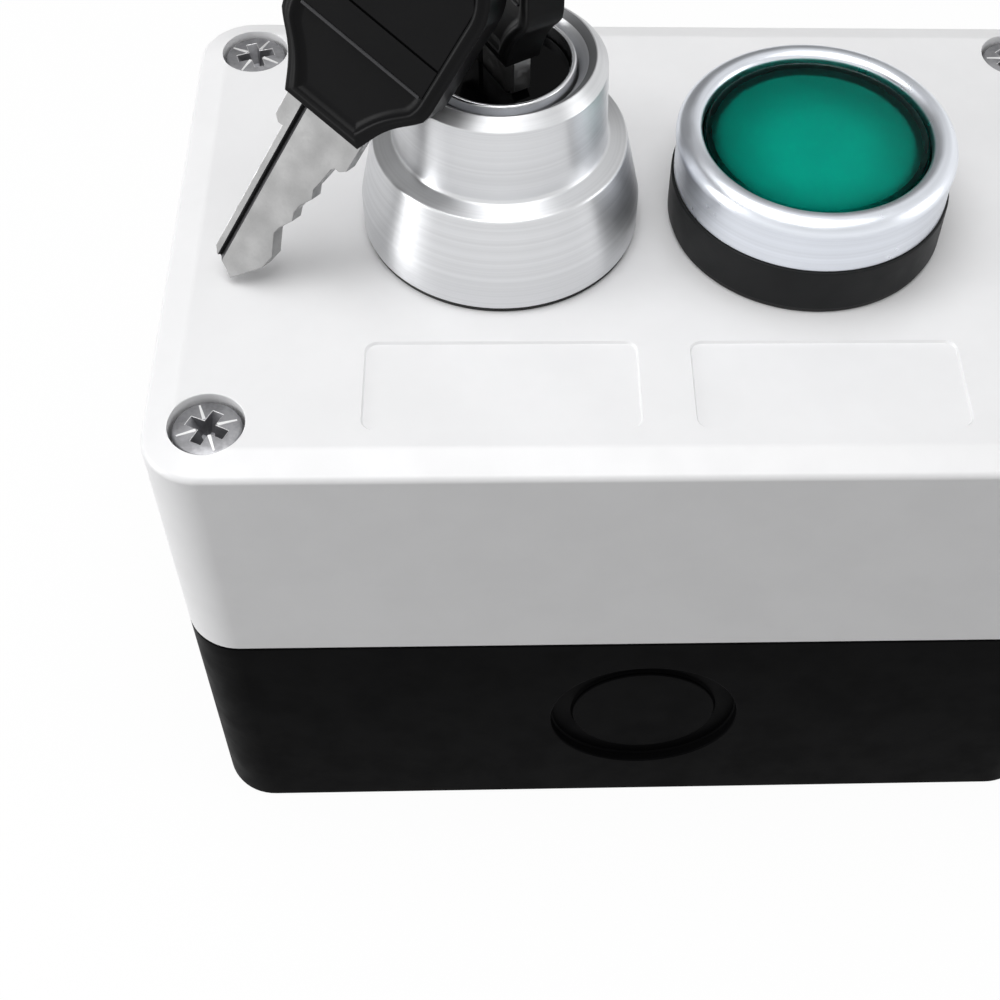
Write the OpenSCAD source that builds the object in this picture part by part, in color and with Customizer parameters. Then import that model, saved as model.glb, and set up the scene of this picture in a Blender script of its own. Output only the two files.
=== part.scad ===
// Two-hole control box with a key switch on the left and a lit pushbutton on the right.
// Millimetres. The origin is under the middle of the box, on the face that it rests on.
// X runs along the box, Y away from the label side, and Z up.

/* [Enclosure] */
// Length of the box along X
box_l = 101; // [95:1:125]
// Width of the box along Y
box_w = 68; // [62:1:90]
// Height of the closed box
box_h = 65; // [62:1:80]
// Height of the joint between base and lid
joint_h = 34.4; // [30:0.2:40]
// Radius of the box's upright corners
corner_r = 6; // [5:0.2:8]
// Thickness of the side walls
wall = 2.6; // [2:0.1:3.4]
// Thickness of the lid's top
lid_top_t = 2.6; // [2:0.1:3.4]
// Thickness of the base's floor
floor_t = 2.8; // [2:0.1:4]
// How far the bevel round the lid's top reaches in
edge_inset = 3.2; // [1:0.1:3.4]
// How far the bevel round the lid's top reaches down
edge_drop = 1; // [0.6:0.1:2.4]
// Width of the seal between base and lid
seal_w = 1.4; // [1:0.1:1.8]
// Height of the seal between base and lid
seal_h = 1.5; // [1:0.1:2.5]

/* [Lid screws] */
// Distance from the box's sides to the axis of each lid screw
screw_inset = 6.3; // [5.8:0.1:7]
// Diameter of a lid screw's head
screw_head_d = 6.8; // [6:0.1:8]
// Height of a lid screw's head
screw_head_h = 2.6; // [2:0.1:3.5]
// How far a lid screw's head lies below the lid's top
screw_sink = 0.6; // [0.2:0.1:1]
// Diameter of a lid screw's shank
screw_shank_d = 3.9; // [3:0.1:4.2]
// Length of a lid screw below its head
screw_l = 41; // [38:1:46]
// Outer radius of the posts that the lid screws pass through
post_r = 5.2; // [4.8:0.1:5.6]

/* [Labels and knockouts] */
// Length of a label recess
label_l = 26.8; // [20:0.2:29]
// Width of a label recess
label_w = 11; // [6:0.5:13]
// Distance from a head's axis to the middle of its label recess
label_offset = 23.75; // [22.5:0.25:24]
// Depth of a label recess
label_depth = 0.3; // [0.2:0.05:0.6]
// Corner radius of a label recess
label_corner_r = 1.2; // [0.5:0.1:2]
// Outer radius of a knockout
knockout_r = 10.8; // [8:0.2:12]
// Height of a knockout's centre
knockout_h = 18.5; // [16:0.5:20]
// Width of the groove round a knockout
knockout_groove_w = 2.5; // [1:0.1:3]
// Depth of the groove round a knockout
knockout_groove_depth = 1.2; // [0.6:0.1:1.6]
// How far a knockout's middle disc lies back
knockout_disc_depth = 0.7; // [0:0.1:1]

/* [Wall fixing] */
// Spacing of the floor's fixing holes along X
fixing_dx = 72; // [60:1:76]
// Spacing of the floor's fixing holes along Y
fixing_dy = 44; // [36:1:46]
// Diameter of the floor's fixing holes
fixing_hole_d = 4.5; // [4:0.1:6]
// Radius of the pad round each fixing hole
fixing_pad_r = 4.6; // [4:0.2:6]
// Height of the pad above the floor
fixing_pad_h = 1.2; // [0.6:0.1:2]

/* [Heads] */
// Distance between the two heads' axes
head_pitch = 32.2; // [31.6:0.2:40]
// Distance of the heads' axes behind the box's middle line
head_y = 0.75; // [0:0.05:2]
// Diameter of the holes in the lid for the heads
panel_hole_d = 22.3; // [22:0.1:22.8]
// Outer diameter of the tube of each head that passes through the lid
tube_d = 21.8; // [21.4:0.05:21.9]
// Thickness of the gasket under each head
gasket_t = 0.5; // [0.3:0.1:1]
// Height of the fixing collar under the lid
collar_h = 10; // [9:0.5:12]
// Width of the fixing collar along X
collar_w = 29.4; // [28:0.2:30]
// Length of the fixing collar along Y
collar_l = 40; // [38:1:44]
// Distance of each clamp screw from the head's axis
clamp_screw_y = 17; // [16.8:0.1:17.4]
// Diameter of a clamp screw's shank
clamp_screw_d = 3; // [2.5:0.1:3.5]
// Diameter of a clamp screw's head
clamp_head_d = 5.2; // [4.4:0.1:5.6]
// Height of a clamp screw's head
clamp_head_h = 1.8; // [1.2:0.1:2.4]

/* [Pushbutton] */
// Travel of the button and of every contact plunger
press_travel = 4; // [3:0.1:4]
// Outer radius of the button's black ring
ring_r = 14.5; // [14:0.1:15.5]
// Height of the top of the black ring above the lid
ring_h = 5.7; // [5:0.1:7]
// Radius of the button's chrome bezel
bezel_r = 14.4; // [14:0.1:15.4]
// Height of the chrome bezel's rim above the lid
bezel_h = 11.8; // [11.4:0.1:13]
// Radius of the opening in the chrome bezel
bezel_hole_r = 11.75; // [11.4:0.05:12]
// Radius of the rounding at the bezel's shoulder
bezel_round_r = 1.5; // [1:0.1:2.4]
// Height of the bezel's lip that hides the body's edge
bezel_lip_h = 1.6; // [1.6:0.1:2.2]
// Gap round the lens
lens_gap = 0.25; // [0.2:0.05:0.35]
// How far the lens lies below the bezel's rim
lens_sink = 0.4; // [0.2:0.1:1.2]
// Height of the lens cap
lens_h = 4.4; // [3.6:0.1:4.6]
// Thickness of the lens's top and skirt
lens_t = 0.8; // [0.8:0.1:1.4]
// Radius of the pale diffuser
diffuser_r = 10; // [9:0.1:10.2]
// Thickness of the diffuser's top and skirt
diffuser_t = 1; // [0.8:0.1:1.2]
// Thickness of the plunger's flange under the lens
flange_t = 1; // [0.8:0.1:1.2]
// Outer radius of the plunger's tube
plunger_r = 9.3; // [9.2:0.05:9.4]
// Inner radius of the plunger's tube
plunger_bore_r = 7; // [6.6:0.1:7.2]
// Gap between the plunger's tube and the body
plunger_gap = 0.3; // [0.2:0.05:0.35]
// Width of a snap leg below the plunger
snap_w = 4.4; // [3:0.2:5]
// How far a snap leg's hook reaches out
snap_reach = 1.1; // [0.8:0.1:1.3]
// Height of a snap leg's hook
snap_h = 1.1; // [0.8:0.1:1.4]

/* [Lamp] */
// Width of the lamp holder along X
holder_w = 6.2; // [5.6:0.1:6.4]
// Height of the lamp holder's low part
holder_h = 15; // [12:0.5:15]
// Length of each end column of the lamp holder
holder_column_l = 2.6; // [2:0.1:2.8]
// Radius of the tower that carries the lamp
tower_r = 2.9; // [2.6:0.1:3]
// Height of the tower above the contact blocks
tower_h = 8; // [4:0.5:9]
// Radius of the lamp
lamp_r = 2.6; // [2:0.1:2.8]
// Height of the lamp with its dome
lamp_h = 8; // [5:0.5:8.4]

/* [Contact blocks] */
// Distance of each contact block's middle from its head's axis
block_offset = 8.2; // [8.1:0.05:8.4]
// Width of a contact block along X
block_w = 9.4; // [9.2:0.1:9.6]
// Length of a contact block along Y
block_l = 28; // [27:0.5:28.4]
// Height of a contact block
block_h = 22; // [21:0.5:24]
// Wall of a contact block
block_wall = 1.1; // [0.9:0.1:1.2]
// Radius of the stem that stands out of a contact block
stem_r = 1.1; // [1:0.05:1.2]
// Height of the stem above a contact block at rest
stem_h = 5.4; // [5.3:0.1:5.5]
// Gap round the stem in its hole
stem_gap = 0.3; // [0.2:0.05:0.4]
// Width of the moving carrier in a contact block
carrier_w = 5.2; // [4.6:0.1:5.6]
// Length of the moving carrier in a contact block
carrier_l = 3.6; // [3:0.1:4]
// Height of the moving carrier in a contact block
carrier_h = 12; // [11:0.1:12.4]
// Width of a contact bridge
bridge_w = 4; // [3:0.1:4.4]
// Length of a contact bridge
bridge_l = 12; // [11:0.5:13]
// Thickness of a contact bridge
bridge_t = 0.8; // [0.6:0.1:1]
// Thickness of a fixed contact
bar_t = 1; // [0.8:0.1:1.2]
// Distance of a fixed contact's inner end from the middle
bar_start = 3.2; // [2.8:0.1:3.4]
// Radius of a contact tip
tip_r = 1.2; // [1:0.1:1.4]
// Height of a contact tip
tip_h = 0.6; // [0.4:0.1:0.8]
// Distance of a contact tip from the middle
tip_y = 4.6; // [4.4:0.1:4.8]
// Height of the fixed contacts in a normally open block
open_bar_z = 8; // [7.8:0.1:8.4]
// Distance of a terminal screw from the middle
terminal_y = 10.4; // [10:0.1:10.8]
// Diameter of a terminal screw's shank
terminal_screw_d = 2.8; // [2.4:0.1:3]
// Diameter of a terminal screw's head
terminal_head_d = 4.8; // [4.2:0.1:5]
// Height of a terminal screw's head
terminal_head_h = 1.6; // [1.2:0.1:2]
// Length of a terminal screw's shank
terminal_screw_l = 5; // [4.6:0.1:5.4]
// Outer radius of a contact spring
spring_r = 1.7; // [1.5:0.1:2]
// Wire thickness of the springs
spring_wire = 0.4; // [0.3:0.05:0.6]

/* [Key collar] */
// Radius of the key collar at its foot
key_foot_r = 14.33; // [13.8:0.01:15]
// Height of the key collar's upright band above the lid
key_band_h = 3.9; // [3:0.1:5]
// Radius of the key collar at its first rim
key_rim_r = 12.73; // [12.4:0.01:13.4]
// Height of the key collar's first rim above the lid
key_rim_h = 11.44; // [11.2:0.02:12]
// Rounding of the first rim
key_rim_round = 0.35; // [0.2:0.05:0.5]
// Radius of the upper tier at its foot
key_tier_r = 10.75; // [10.6:0.01:11.2]
// Radius of the upper tier at its shoulder
key_shoulder_r = 10.56; // [10.2:0.01:10.6]
// Height of the upper tier's shoulder above the lid
key_shoulder_h = 20; // [19.6:0.1:20.2]
// Outer radius of the upper tier's top edge
key_top_r = 9.4; // [9.2:0.1:9.6]
// Height of the upper tier's top edge above the lid
key_top_h = 21.1; // [20.8:0.1:21.4]
// Radius where the inner bevel starts
key_lip_r = 8.6; // [8.4:0.1:8.8]
// Height where the inner bevel starts
key_lip_h = 20.5; // [20.3:0.1:20.7]
// Radius of the hole in the key collar's top
key_hole_r = 7.7; // [7.6:0.05:7.9]
// Height of the foot of the inner bevel above the lid
key_hole_h = 19.3; // [19:0.1:19.6]

/* [Lock] */
// Height of the plug's face above the lid
plug_face_h = 19; // [18.6:0.1:19.4]
// Radius of the lock plug
plug_r = 6.85; // [6.8:0.01:6.88]
// Gap between the lock plug and its sleeve
plug_gap = 0.1; // [0.08:0.01:0.1]
// Thickness of the plug's black face cap
cap_t = 1.4; // [1:0.1:1.8]
// Wall of the lock sleeve at its top
sleeve_wall = 0.35; // [0.3:0.05:0.5]
// Height of the lock sleeve's top above the lid
sleeve_top_h = 20.6; // [20.2:0.1:20.8]
// Radius of the lock sleeve inside the collar
sleeve_r = 8.4; // [8.2:0.05:8.5]
// Radius of the lock plug's stop flange
plug_stop_r = 8.2; // [8:0.05:8.3]
// Thickness of the lock plug's stop flange
plug_stop_t = 1.2; // [1:0.1:1.4]
// Radius of the cam under the plug
cam_r = 9.2; // [9.1:0.05:9.3]
// Thickness of the cam over the middle of its valley
cam_t = 2.7; // [2:0.1:3]
// Turn of the key from one position to the other, in degrees
key_turn_deg = 45; // [45:1:60]
// Width of the plug's square tail
tail_w = 5.4; // [4.6:0.1:6]
// Thickness of a lock wafer
wafer_t = 0.9; // [0.7:0.1:1]
// Length of a lock wafer
wafer_l = 12.2; // [11.8:0.1:12.4]
// Width of a lock wafer
wafer_w = 5; // [4.6:0.1:5.2]
// Spacing of the lock wafers
wafer_step = 3.1; // [2.8:0.1:3.2]
// Distance of the highest wafer below the plug's face
wafer_top_depth = 3.6; // [3.2:0.1:4]

/* [Keys] */
// Width of a key's blade
blade_w = 6.4; // [6:0.1:6.6]
// Thickness of a key's blade
blade_t = 1.8; // [1.6:0.1:2]
// Length of a key's blade below its shoulder
blade_l = 18.4; // [17:0.2:18.6]
// Gap between a key's blade and the keyway
keyway_gap = 0.2; // [0.1:0.05:0.3]
// Width of a key's neck
neck_w = 8.6; // [8:0.1:9]
// Height of the bare neck
neck_h = 3.9; // [3.4:0.1:4.4]
// Width of a key's moulded head
key_head_w = 16.8; // [15:0.2:17]
// Height at which the head reaches its full width
head_corner_h = 10.4; // [9:0.1:12]
// Height at which the head starts to narrow again
head_side_h = 22.9; // [22:0.1:24]
// Height of the head's top above the shoulder
head_top_h = 27.4; // [27:0.1:28.4]
// Thickness of the head at its rim
head_t = 4.2; // [3.6:0.1:4.2]
// Depth of the field inside the rim
head_field_depth = 0.35; // [0.2:0.05:0.5]
// Width of the rim
head_rim_w = 1.3; // [1:0.1:1.6]
// Radius of the hole in the head
head_hole_r = 2.2; // [1.8:0.1:2.4]
// Distance of the hole below the head's top
head_hole_drop = 4.9; // [4.6:0.1:5.4]
// Direction of the key in the lock, from the box's length, in degrees
key_heading = -60; // [-62:1:-58]
// Turn of the leaning key about the upright axis, in degrees
spare_heading = -33.9; // [-35:0.1:-33]
// Turn of the leaning key about its own width axis, in degrees
spare_pitch = -21; // [-22:0.1:-20]
// Turn of the leaning key about its own face axis, in degrees
spare_roll = 22.4; // [22:0.1:23]
// Place of the leaning key's shoulder to the left of the key head's axis
spare_dx = 17.72; // [17.6:0.02:18.4]
// Place of the leaning key's shoulder in front of the key head's axis
spare_dy = 7.78; // [7.6:0.02:8.4]
// Height of the leaning key's shoulder above the lid
spare_dz = 16.3; // [16.2:0.1:17]

/* [Hidden] */
$fn = 64;

// Colours
white_abs = "#EDEDED";
black_abs = "#161616";
dark_rubber = "#1C1C1C";
zinc = "#A9ABAD";
bright_steel = "#C8CACC";
satin_alu = "#C9CBCD";
lens_green = "#008C78";
pale_diffuser = "#D8E8DC";
contact_brass = "#B89A58";
contact_silver = "#C9C9C4";
block_grey = "#4A4C50";
nickel = "#A8A8A8";
open_green = "#2E7D4A";
closed_red = "#A02820";

// Small shared clearances and overruns
fit_gap = 0.1;
slide_gap = 0.2;
loose_gap = 0.3;
overrun = 1;
half = 1 / 2;
sides = [-1, 1];

// Walls and edges that no dimension of the photograph drives
tube_end_gap = 0.6;
collar_web = 1.4;
collar_shelf_t = 1.2;
body_neck_t = 1.15;
lens_edge = 0.4;
wire_room = 2.2;
tang_l = 9;
shoulder_cut = 0.6;
wafer_count = 5;

// Shares of the size that each detail belongs to
slot_width_share = 0.28;
slot_length_share = 1.3;
slot_depth_share = 0.6;
screw_edge_share = 0.2;
collar_corner_share = 0.3;
// Points of a key's tip and of its cut edge: across the blade's width, then down its length
tip_shares = [[-0.5, 0.88], [-0.42, 0.92], [-0.12, 0.98], [-0.05, 1]];
cut_edge_shares = [[0.31, 0.8], [0.36, 0.7], [0.2, 0.565], [0.23, 0.515], [0.35, 0.43], [0.305, 0.375],
                   [0.33, 0.32], [0.44, 0.24], [0.385, 0.185], [0.42, 0.12], [0.46, 0.02]];
groove_x_share = -0.41;
groove_w_share = 0.13;
groove_depth_share = 0.4;
mill_x_share = -0.24;
mill_w_share = 0.1;
mill_depth_share = 0.15;
crown_share = 0.62;
rim_foot_share = 0.45;

// Places worked out from the driving sizes
lid_under = box_h - lid_top_t;
head_x = head_pitch * half;
screw_x = box_l * half - screw_inset;
screw_y = box_w * half - screw_inset;
screw_head_z = box_h - screw_sink - screw_head_h;
tube_r = tube_d * half;
collar_z = lid_under - collar_h;
tube_end_z = collar_z + tube_end_gap;
block_z = collar_z - block_h;
stem_top_z = collar_z + stem_h;
seal_inset = wall - seal_w;
foot_z = box_h + gasket_t;

// A flat ring
module ring(outer_r, inner_r, height) {
    difference() {
        cylinder(r = outer_r, h = height);
        translate([0, 0, -overrun]) cylinder(r = inner_r, h = height + 2 * overrun);
    }
}

// A rectangle with round corners, centred on the axis
module rounded_rectangle(length, width, radius) {
    square([length - 2 * radius, width], center = true);
    square([length, width - 2 * radius], center = true);
    for (sx = sides, sy = sides)
        translate([sx * (length * half - radius), sy * (width * half - radius)]) circle(r = radius);
}

module rounded_prism(length, width, height, radius) {
    linear_extrude(height) rounded_rectangle(length, width, radius);
}

// The bevel that closes the lid's top: a cone at each corner and a sloping slab along each side
module bevelled_top(length, width, radius, inset, drop) {
    for (sx = sides, sy = sides)
        translate([sx * (length * half - radius), sy * (width * half - radius), 0])
            cylinder(r1 = radius, r2 = radius - inset, h = drop);
    rotate([90, 0, 90]) translate([0, 0, radius - length * half])
        linear_extrude(length - 2 * radius) bevel_section(width * half, inset, drop);
    rotate([90, 0, 0]) translate([0, 0, radius - width * half])
        linear_extrude(width - 2 * radius) bevel_section(length * half, inset, drop);
}

module bevel_section(reach, inset, drop) {
    polygon([[-reach, 0], [reach, 0], [reach - inset, drop], [inset - reach, drop]]);
}

// Puts its children at each of the four lid screws
module at_lid_screws() {
    for (sx = sides, sy = sides) translate([sx * screw_x, sy * screw_y, 0]) children();
}

module at_key_head() { translate([-head_x, head_y, 0]) children(); }
module at_button_head() { translate([head_x, head_y, 0]) children(); }

// Enclosure

module knockout_cut() {
    translate([0, 0, knockout_h]) rotate([90, 0, 0]) {
        translate([0, 0, -knockout_groove_depth])
            ring(knockout_r, knockout_r - knockout_groove_w, knockout_groove_depth + overrun);
        translate([0, 0, -knockout_disc_depth]) cylinder(r = knockout_r, h = knockout_disc_depth + overrun);
    }
}

module base() {
    screw_depth = joint_h - (screw_head_z - screw_l) + overrun;
    color(black_abs) difference() {
        union() {
            difference() {
                rounded_prism(box_l, box_w, joint_h, corner_r);
                translate([0, 0, floor_t])
                    rounded_prism(box_l - 2 * wall, box_w - 2 * wall, joint_h, corner_r - wall);
            }
            at_lid_screws() cylinder(r = post_r, h = joint_h);
            for (sx = sides, sy = sides) translate([sx * fixing_dx * half, sy * fixing_dy * half, 0])
                cylinder(r = fixing_pad_r, h = floor_t + fixing_pad_h);
        }
        at_lid_screws() translate([0, 0, joint_h - screw_depth])
            cylinder(r = screw_shank_d * half, h = screw_depth + overrun);
        for (sx = sides, sy = sides) translate([sx * fixing_dx * half, sy * fixing_dy * half, -overrun])
            cylinder(r = fixing_hole_d * half, h = floor_t + fixing_pad_h + 2 * overrun);
        translate([0, 0, joint_h - seal_h]) seal_ring(seal_h + overrun);
        for (turn = [0, 180]) rotate([0, 0, turn]) translate([0, -box_w * half, 0]) knockout_cut();
        for (turn = [90, 270]) rotate([0, 0, turn]) translate([0, -box_l * half, 0]) knockout_cut();
    }
}

module seal_ring(height) {
    difference() {
        rounded_prism(box_l - 2 * seal_inset, box_w - 2 * seal_inset, height, corner_r - seal_inset);
        translate([0, 0, -overrun])
            rounded_prism(box_l - 2 * wall, box_w - 2 * wall, height + 2 * overrun, corner_r - wall);
    }
}

module lid_seal() {
    color(dark_rubber) translate([0, 0, joint_h - seal_h]) seal_ring(seal_h);
}

module lid() {
    counterbore_r = screw_head_d * half + loose_gap;
    color(white_abs) difference() {
        union() {
            difference() {
                union() {
                    translate([0, 0, joint_h])
                        rounded_prism(box_l, box_w, box_h - edge_drop - joint_h, corner_r);
                    translate([0, 0, box_h - edge_drop])
                        bevelled_top(box_l, box_w, corner_r, edge_inset, edge_drop);
                }
                translate([0, 0, joint_h - overrun])
                    rounded_prism(box_l - 2 * wall, box_w - 2 * wall, lid_under - joint_h + overrun,
                                  corner_r - wall);
            }
            at_lid_screws() translate([0, 0, joint_h]) cylinder(r = post_r, h = lid_under - joint_h);
        }
        at_lid_screws() translate([0, 0, joint_h - overrun])
            cylinder(r = screw_shank_d * half + slide_gap, h = box_h);
        at_lid_screws() translate([0, 0, screw_head_z]) cylinder(r = counterbore_r, h = box_h);
        for (sx = sides) translate([sx * head_x, head_y, joint_h])
            cylinder(r = panel_hole_d * half, h = box_h);
        for (sx = sides) translate([sx * head_x, head_y - label_offset, box_h - label_depth])
            rounded_prism(label_l, label_w, label_depth + overrun, label_corner_r);
    }
}

// A screw with a flat domed head, seated at z 0 with its shank below
module cross_screw(head_r, head_height, shank_r, shank_length) {
    slot_w = head_r * slot_width_share;
    slot_depth = head_height * slot_depth_share;
    edge = head_height * screw_edge_share;
    difference() {
        union() {
            rotate_extrude() polygon([[0, 0], [head_r, 0], [head_r, head_height - edge],
                                      [head_r - edge, head_height], [0, head_height]]);
            translate([0, 0, -shank_length]) cylinder(r = shank_r, h = shank_length);
        }
        for (turn = [0, 90]) rotate([0, 0, turn])
            translate([0, 0, head_height - slot_depth * half + overrun * half])
                cube([head_r * slot_length_share, slot_w, slot_depth + overrun], center = true);
    }
}

module lid_screws() {
    color(zinc) at_lid_screws() translate([0, 0, screw_head_z])
        cross_screw(screw_head_d * half, screw_head_h, screw_shank_d * half, screw_l);
}

// Fixing under a head

module fixing_collar() {
    corner = collar_h * collar_corner_share;
    color(zinc) translate([0, 0, collar_z]) difference() {
        rounded_prism(collar_w, collar_l, collar_h, corner);
        translate([0, 0, -overrun]) cylinder(r = tube_r + fit_gap, h = collar_h + 2 * overrun);
        for (sy = sides) translate([0, sy * clamp_screw_y, -overrun])
            cylinder(r = clamp_screw_d * half + fit_gap * half, h = collar_h + 2 * overrun);
    }
}

module clamp_screws() {
    color(bright_steel) for (sy = sides) translate([0, sy * clamp_screw_y, collar_z]) rotate([180, 0, 0])
        cross_screw(clamp_head_d * half, clamp_head_h, clamp_screw_d * half, collar_h);
}

module head_gasket(outer_r) {
    color(dark_rubber) translate([0, 0, box_h]) ring(outer_r, panel_hole_d * half, gasket_t);
}

module key_fixing_collar() { at_key_head() fixing_collar(); }
module key_clamp_screws() { at_key_head() clamp_screws(); }
module key_gasket() { at_key_head() head_gasket(key_foot_r - slide_gap); }
module button_fixing_collar() { at_button_head() fixing_collar(); }
module button_clamp_screws() { at_button_head() clamp_screws(); }
module button_gasket() { at_button_head() head_gasket(ring_r - slide_gap); }

// Key collar and lock

sleeve_seat_z = box_h + key_rim_h + collar_shelf_t;
body_top_z = box_h + key_rim_h - collar_web;
face_z = box_h + plug_face_h;
sleeve_bore_r = plug_r + plug_gap;
sleeve_tip_r = sleeve_bore_r + sleeve_wall;
// The cam's valley falls away on both sides of a line over the two contact stems
ramp_reach = block_offset * sin(key_turn_deg);
ramp_rise_share = press_travel / ramp_reach;
ramp_deg = atan(ramp_rise_share);
ramp_lag = 0.18;
dome_drop = (stem_r + fit_gap) / cos(ramp_deg) - stem_r + ramp_lag;
valley_z = stem_top_z + dome_drop;
cam_top_z = valley_z + cam_t;
ramp_end = ramp_reach + stem_r * sin(ramp_deg) + stem_r * half;
plug_stop_z = cam_top_z + fit_gap;
sleeve_z = plug_stop_z + plug_stop_t + slide_gap;

module key_collar() {
    at_key_head() color(satin_alu) rotate_extrude() polygon([
        [tube_r + fit_gap, foot_z],
        [key_foot_r, foot_z],
        [key_foot_r, box_h + key_band_h],
        [key_rim_r + key_rim_round * half, box_h + key_rim_h - key_rim_round],
        [key_rim_r - key_rim_round, box_h + key_rim_h],
        [key_tier_r, box_h + key_rim_h],
        [key_shoulder_r, box_h + key_shoulder_h],
        [key_top_r, box_h + key_top_h],
        [key_lip_r, box_h + key_lip_h],
        [key_hole_r, box_h + key_hole_h],
        [key_hole_r, sleeve_seat_z],
        [sleeve_r + fit_gap, sleeve_seat_z],
        [sleeve_r + fit_gap, body_top_z],
        [tube_r + fit_gap, body_top_z]
    ]);
}

module key_body() {
    at_key_head() color(black_abs) rotate_extrude() polygon([
        [cam_r + plunger_gap, tube_end_z],
        [tube_r, tube_end_z],
        [tube_r, body_top_z],
        [sleeve_r + fit_gap, body_top_z],
        [sleeve_r + fit_gap, sleeve_z],
        [cam_r + plunger_gap, sleeve_z]
    ]);
}

module lock_sleeve() {
    tip_edge = sleeve_wall * half;
    at_key_head() color(bright_steel) rotate_extrude() polygon([
        [sleeve_bore_r, sleeve_z],
        [sleeve_r, sleeve_z],
        [sleeve_r, sleeve_seat_z - fit_gap],
        [sleeve_tip_r, sleeve_seat_z - fit_gap],
        [sleeve_tip_r, box_h + sleeve_top_h - tip_edge],
        [sleeve_tip_r - tip_edge, box_h + sleeve_top_h],
        [sleeve_bore_r, box_h + sleeve_top_h]
    ]);
}

// The slot that the key's blade slides in, seen from the plug's face down
module keyway(depth) {
    translate([-blade_w * half - keyway_gap, -blade_t * half - keyway_gap, -depth])
        cube([blade_w + 2 * keyway_gap, blade_t + 2 * keyway_gap, depth + overrun]);
}

module at_wafers() {
    for (i = [0 : wafer_count - 1])
        translate([0, 0, face_z - wafer_top_depth - i * wafer_step]) children();
}

module lock_plug() {
    slot_t = wafer_t + 2 * fit_gap;
    slot_w = wafer_w + 2 * fit_gap;
    at_key_head() rotate([0, 0, key_heading]) color(contact_brass) difference() {
        union() {
            translate([0, 0, plug_stop_z]) cylinder(r = plug_r, h = face_z - cap_t - plug_stop_z);
            translate([0, 0, plug_stop_z]) cylinder(r = plug_stop_r, h = plug_stop_t);
            translate([-tail_w * half, -tail_w * half, valley_z])
                cube([tail_w, tail_w, plug_stop_z - valley_z + overrun]);
        }
        translate([0, 0, face_z]) keyway(blade_l + keyway_gap);
        at_wafers() translate([-plug_r - overrun, -slot_w * half, -slot_t * half])
            cube([2 * (plug_r + overrun), slot_w, slot_t]);
    }
}

module lock_face_cap() {
    at_key_head() translate([0, 0, face_z - cap_t]) rotate([0, 0, key_heading])
        color(black_abs) difference() {
            cylinder(r = plug_r, h = cap_t);
            translate([0, 0, cap_t]) keyway(cap_t + overrun);
        }
}

module lock_wafers() {
    window_l = blade_w + 2 * keyway_gap;
    window_w = blade_t + 2 * keyway_gap;
    at_key_head() rotate([0, 0, key_heading]) color(contact_brass) at_wafers() difference() {
        cube([wafer_l, wafer_w, wafer_t], center = true);
        cube([window_l, window_w, wafer_t + overrun], center = true);
    }
}

module lock_cam() {
    lobe_z = valley_z - ramp_end * ramp_rise_share;
    lobe_end = cam_r + overrun;
    at_key_head() color(black_abs) difference() {
        translate([0, 0, lobe_z]) cylinder(r = cam_r, h = cam_top_z - lobe_z);
        rotate([90, 0, 90]) translate([0, 0, -lobe_end]) linear_extrude(2 * lobe_end)
            polygon([[0, valley_z], [ramp_end, lobe_z], [ramp_end, lobe_z - overrun],
                     [-ramp_end, lobe_z - overrun], [-ramp_end, lobe_z]]);
        rotate([0, 0, key_heading]) translate([0, 0, cam_top_z - cam_t * half])
            cube([tail_w + 2 * fit_gap, tail_w + 2 * fit_gap, cam_t + 2 * overrun], center = true);
    }
}

// Keys. A key stands with its shoulder at z 0, its blade below and its width along X.

tang_half_w = blade_w * half;

function blade_points(shares) = [for (share = shares) [blade_w * share.x, -blade_l * share.y]];

module key_blade_outline() {
    edge = blade_w * half;
    neck = neck_w * half;
    polygon(concat(
        [[-tang_half_w, neck_h + tang_l], [-tang_half_w, neck_h], [-neck, neck_h],
         [-neck, shoulder_cut], [shoulder_cut - neck, 0], [-edge, 0]],
        blade_points(tip_shares),
        blade_points(cut_edge_shares),
        [[edge, 0], [neck - shoulder_cut, 0], [neck, shoulder_cut], [neck, neck_h],
         [tang_half_w, neck_h], [tang_half_w, neck_h + tang_l]]
    ));
}

module key_metal() {
    groove_l = blade_l + neck_h;
    rotate([90, 0, 0]) translate([0, 0, -blade_t * half]) difference() {
        linear_extrude(blade_t) key_blade_outline();
        translate([blade_w * groove_x_share, -blade_l - overrun, blade_t * (1 - groove_depth_share)])
            cube([blade_w * groove_w_share, groove_l + overrun, blade_t]);
        translate([blade_w * mill_x_share, -blade_l - overrun, blade_t * (1 - mill_depth_share)])
            cube([blade_w * mill_w_share, groove_l + overrun, blade_t]);
    }
}

module key_head_outline(inset) {
    side = key_head_w * half - inset;
    foot = neck_w * half - inset * rim_foot_share;
    crown = key_head_w * half * crown_share - inset * rim_foot_share;
    polygon([[-foot, neck_h + inset], [foot, neck_h + inset], [side, head_corner_h + inset * rim_foot_share],
             [side, head_side_h - inset * rim_foot_share], [crown, head_top_h - inset],
             [-crown, head_top_h - inset], [-side, head_side_h - inset * rim_foot_share],
             [-side, head_corner_h + inset * rim_foot_share]]);
}

module key_grip() {
    hole_z = head_top_h - head_hole_drop;
    rotate([90, 0, 0]) translate([0, 0, -head_t * half]) difference() {
        linear_extrude(head_t) key_head_outline(0);
        for (z = [-overrun, head_t - head_field_depth]) translate([0, 0, z])
            linear_extrude(head_field_depth + overrun) key_head_outline(head_rim_w);
        translate([0, hole_z, -overrun]) cylinder(r = head_hole_r, h = head_t + 2 * overrun);
        translate([-tang_half_w, neck_h - overrun, (head_t - blade_t) * half])
            cube([2 * tang_half_w, tang_l + overrun, blade_t]);
    }
}

module at_key() { at_key_head() translate([0, 0, face_z]) rotate([0, 0, key_heading]) children(); }

module at_spare_key() {
    at_key_head() translate([-spare_dx, -spare_dy, box_h + spare_dz])
        rotate([spare_pitch, spare_roll, spare_heading]) children();
}

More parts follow.
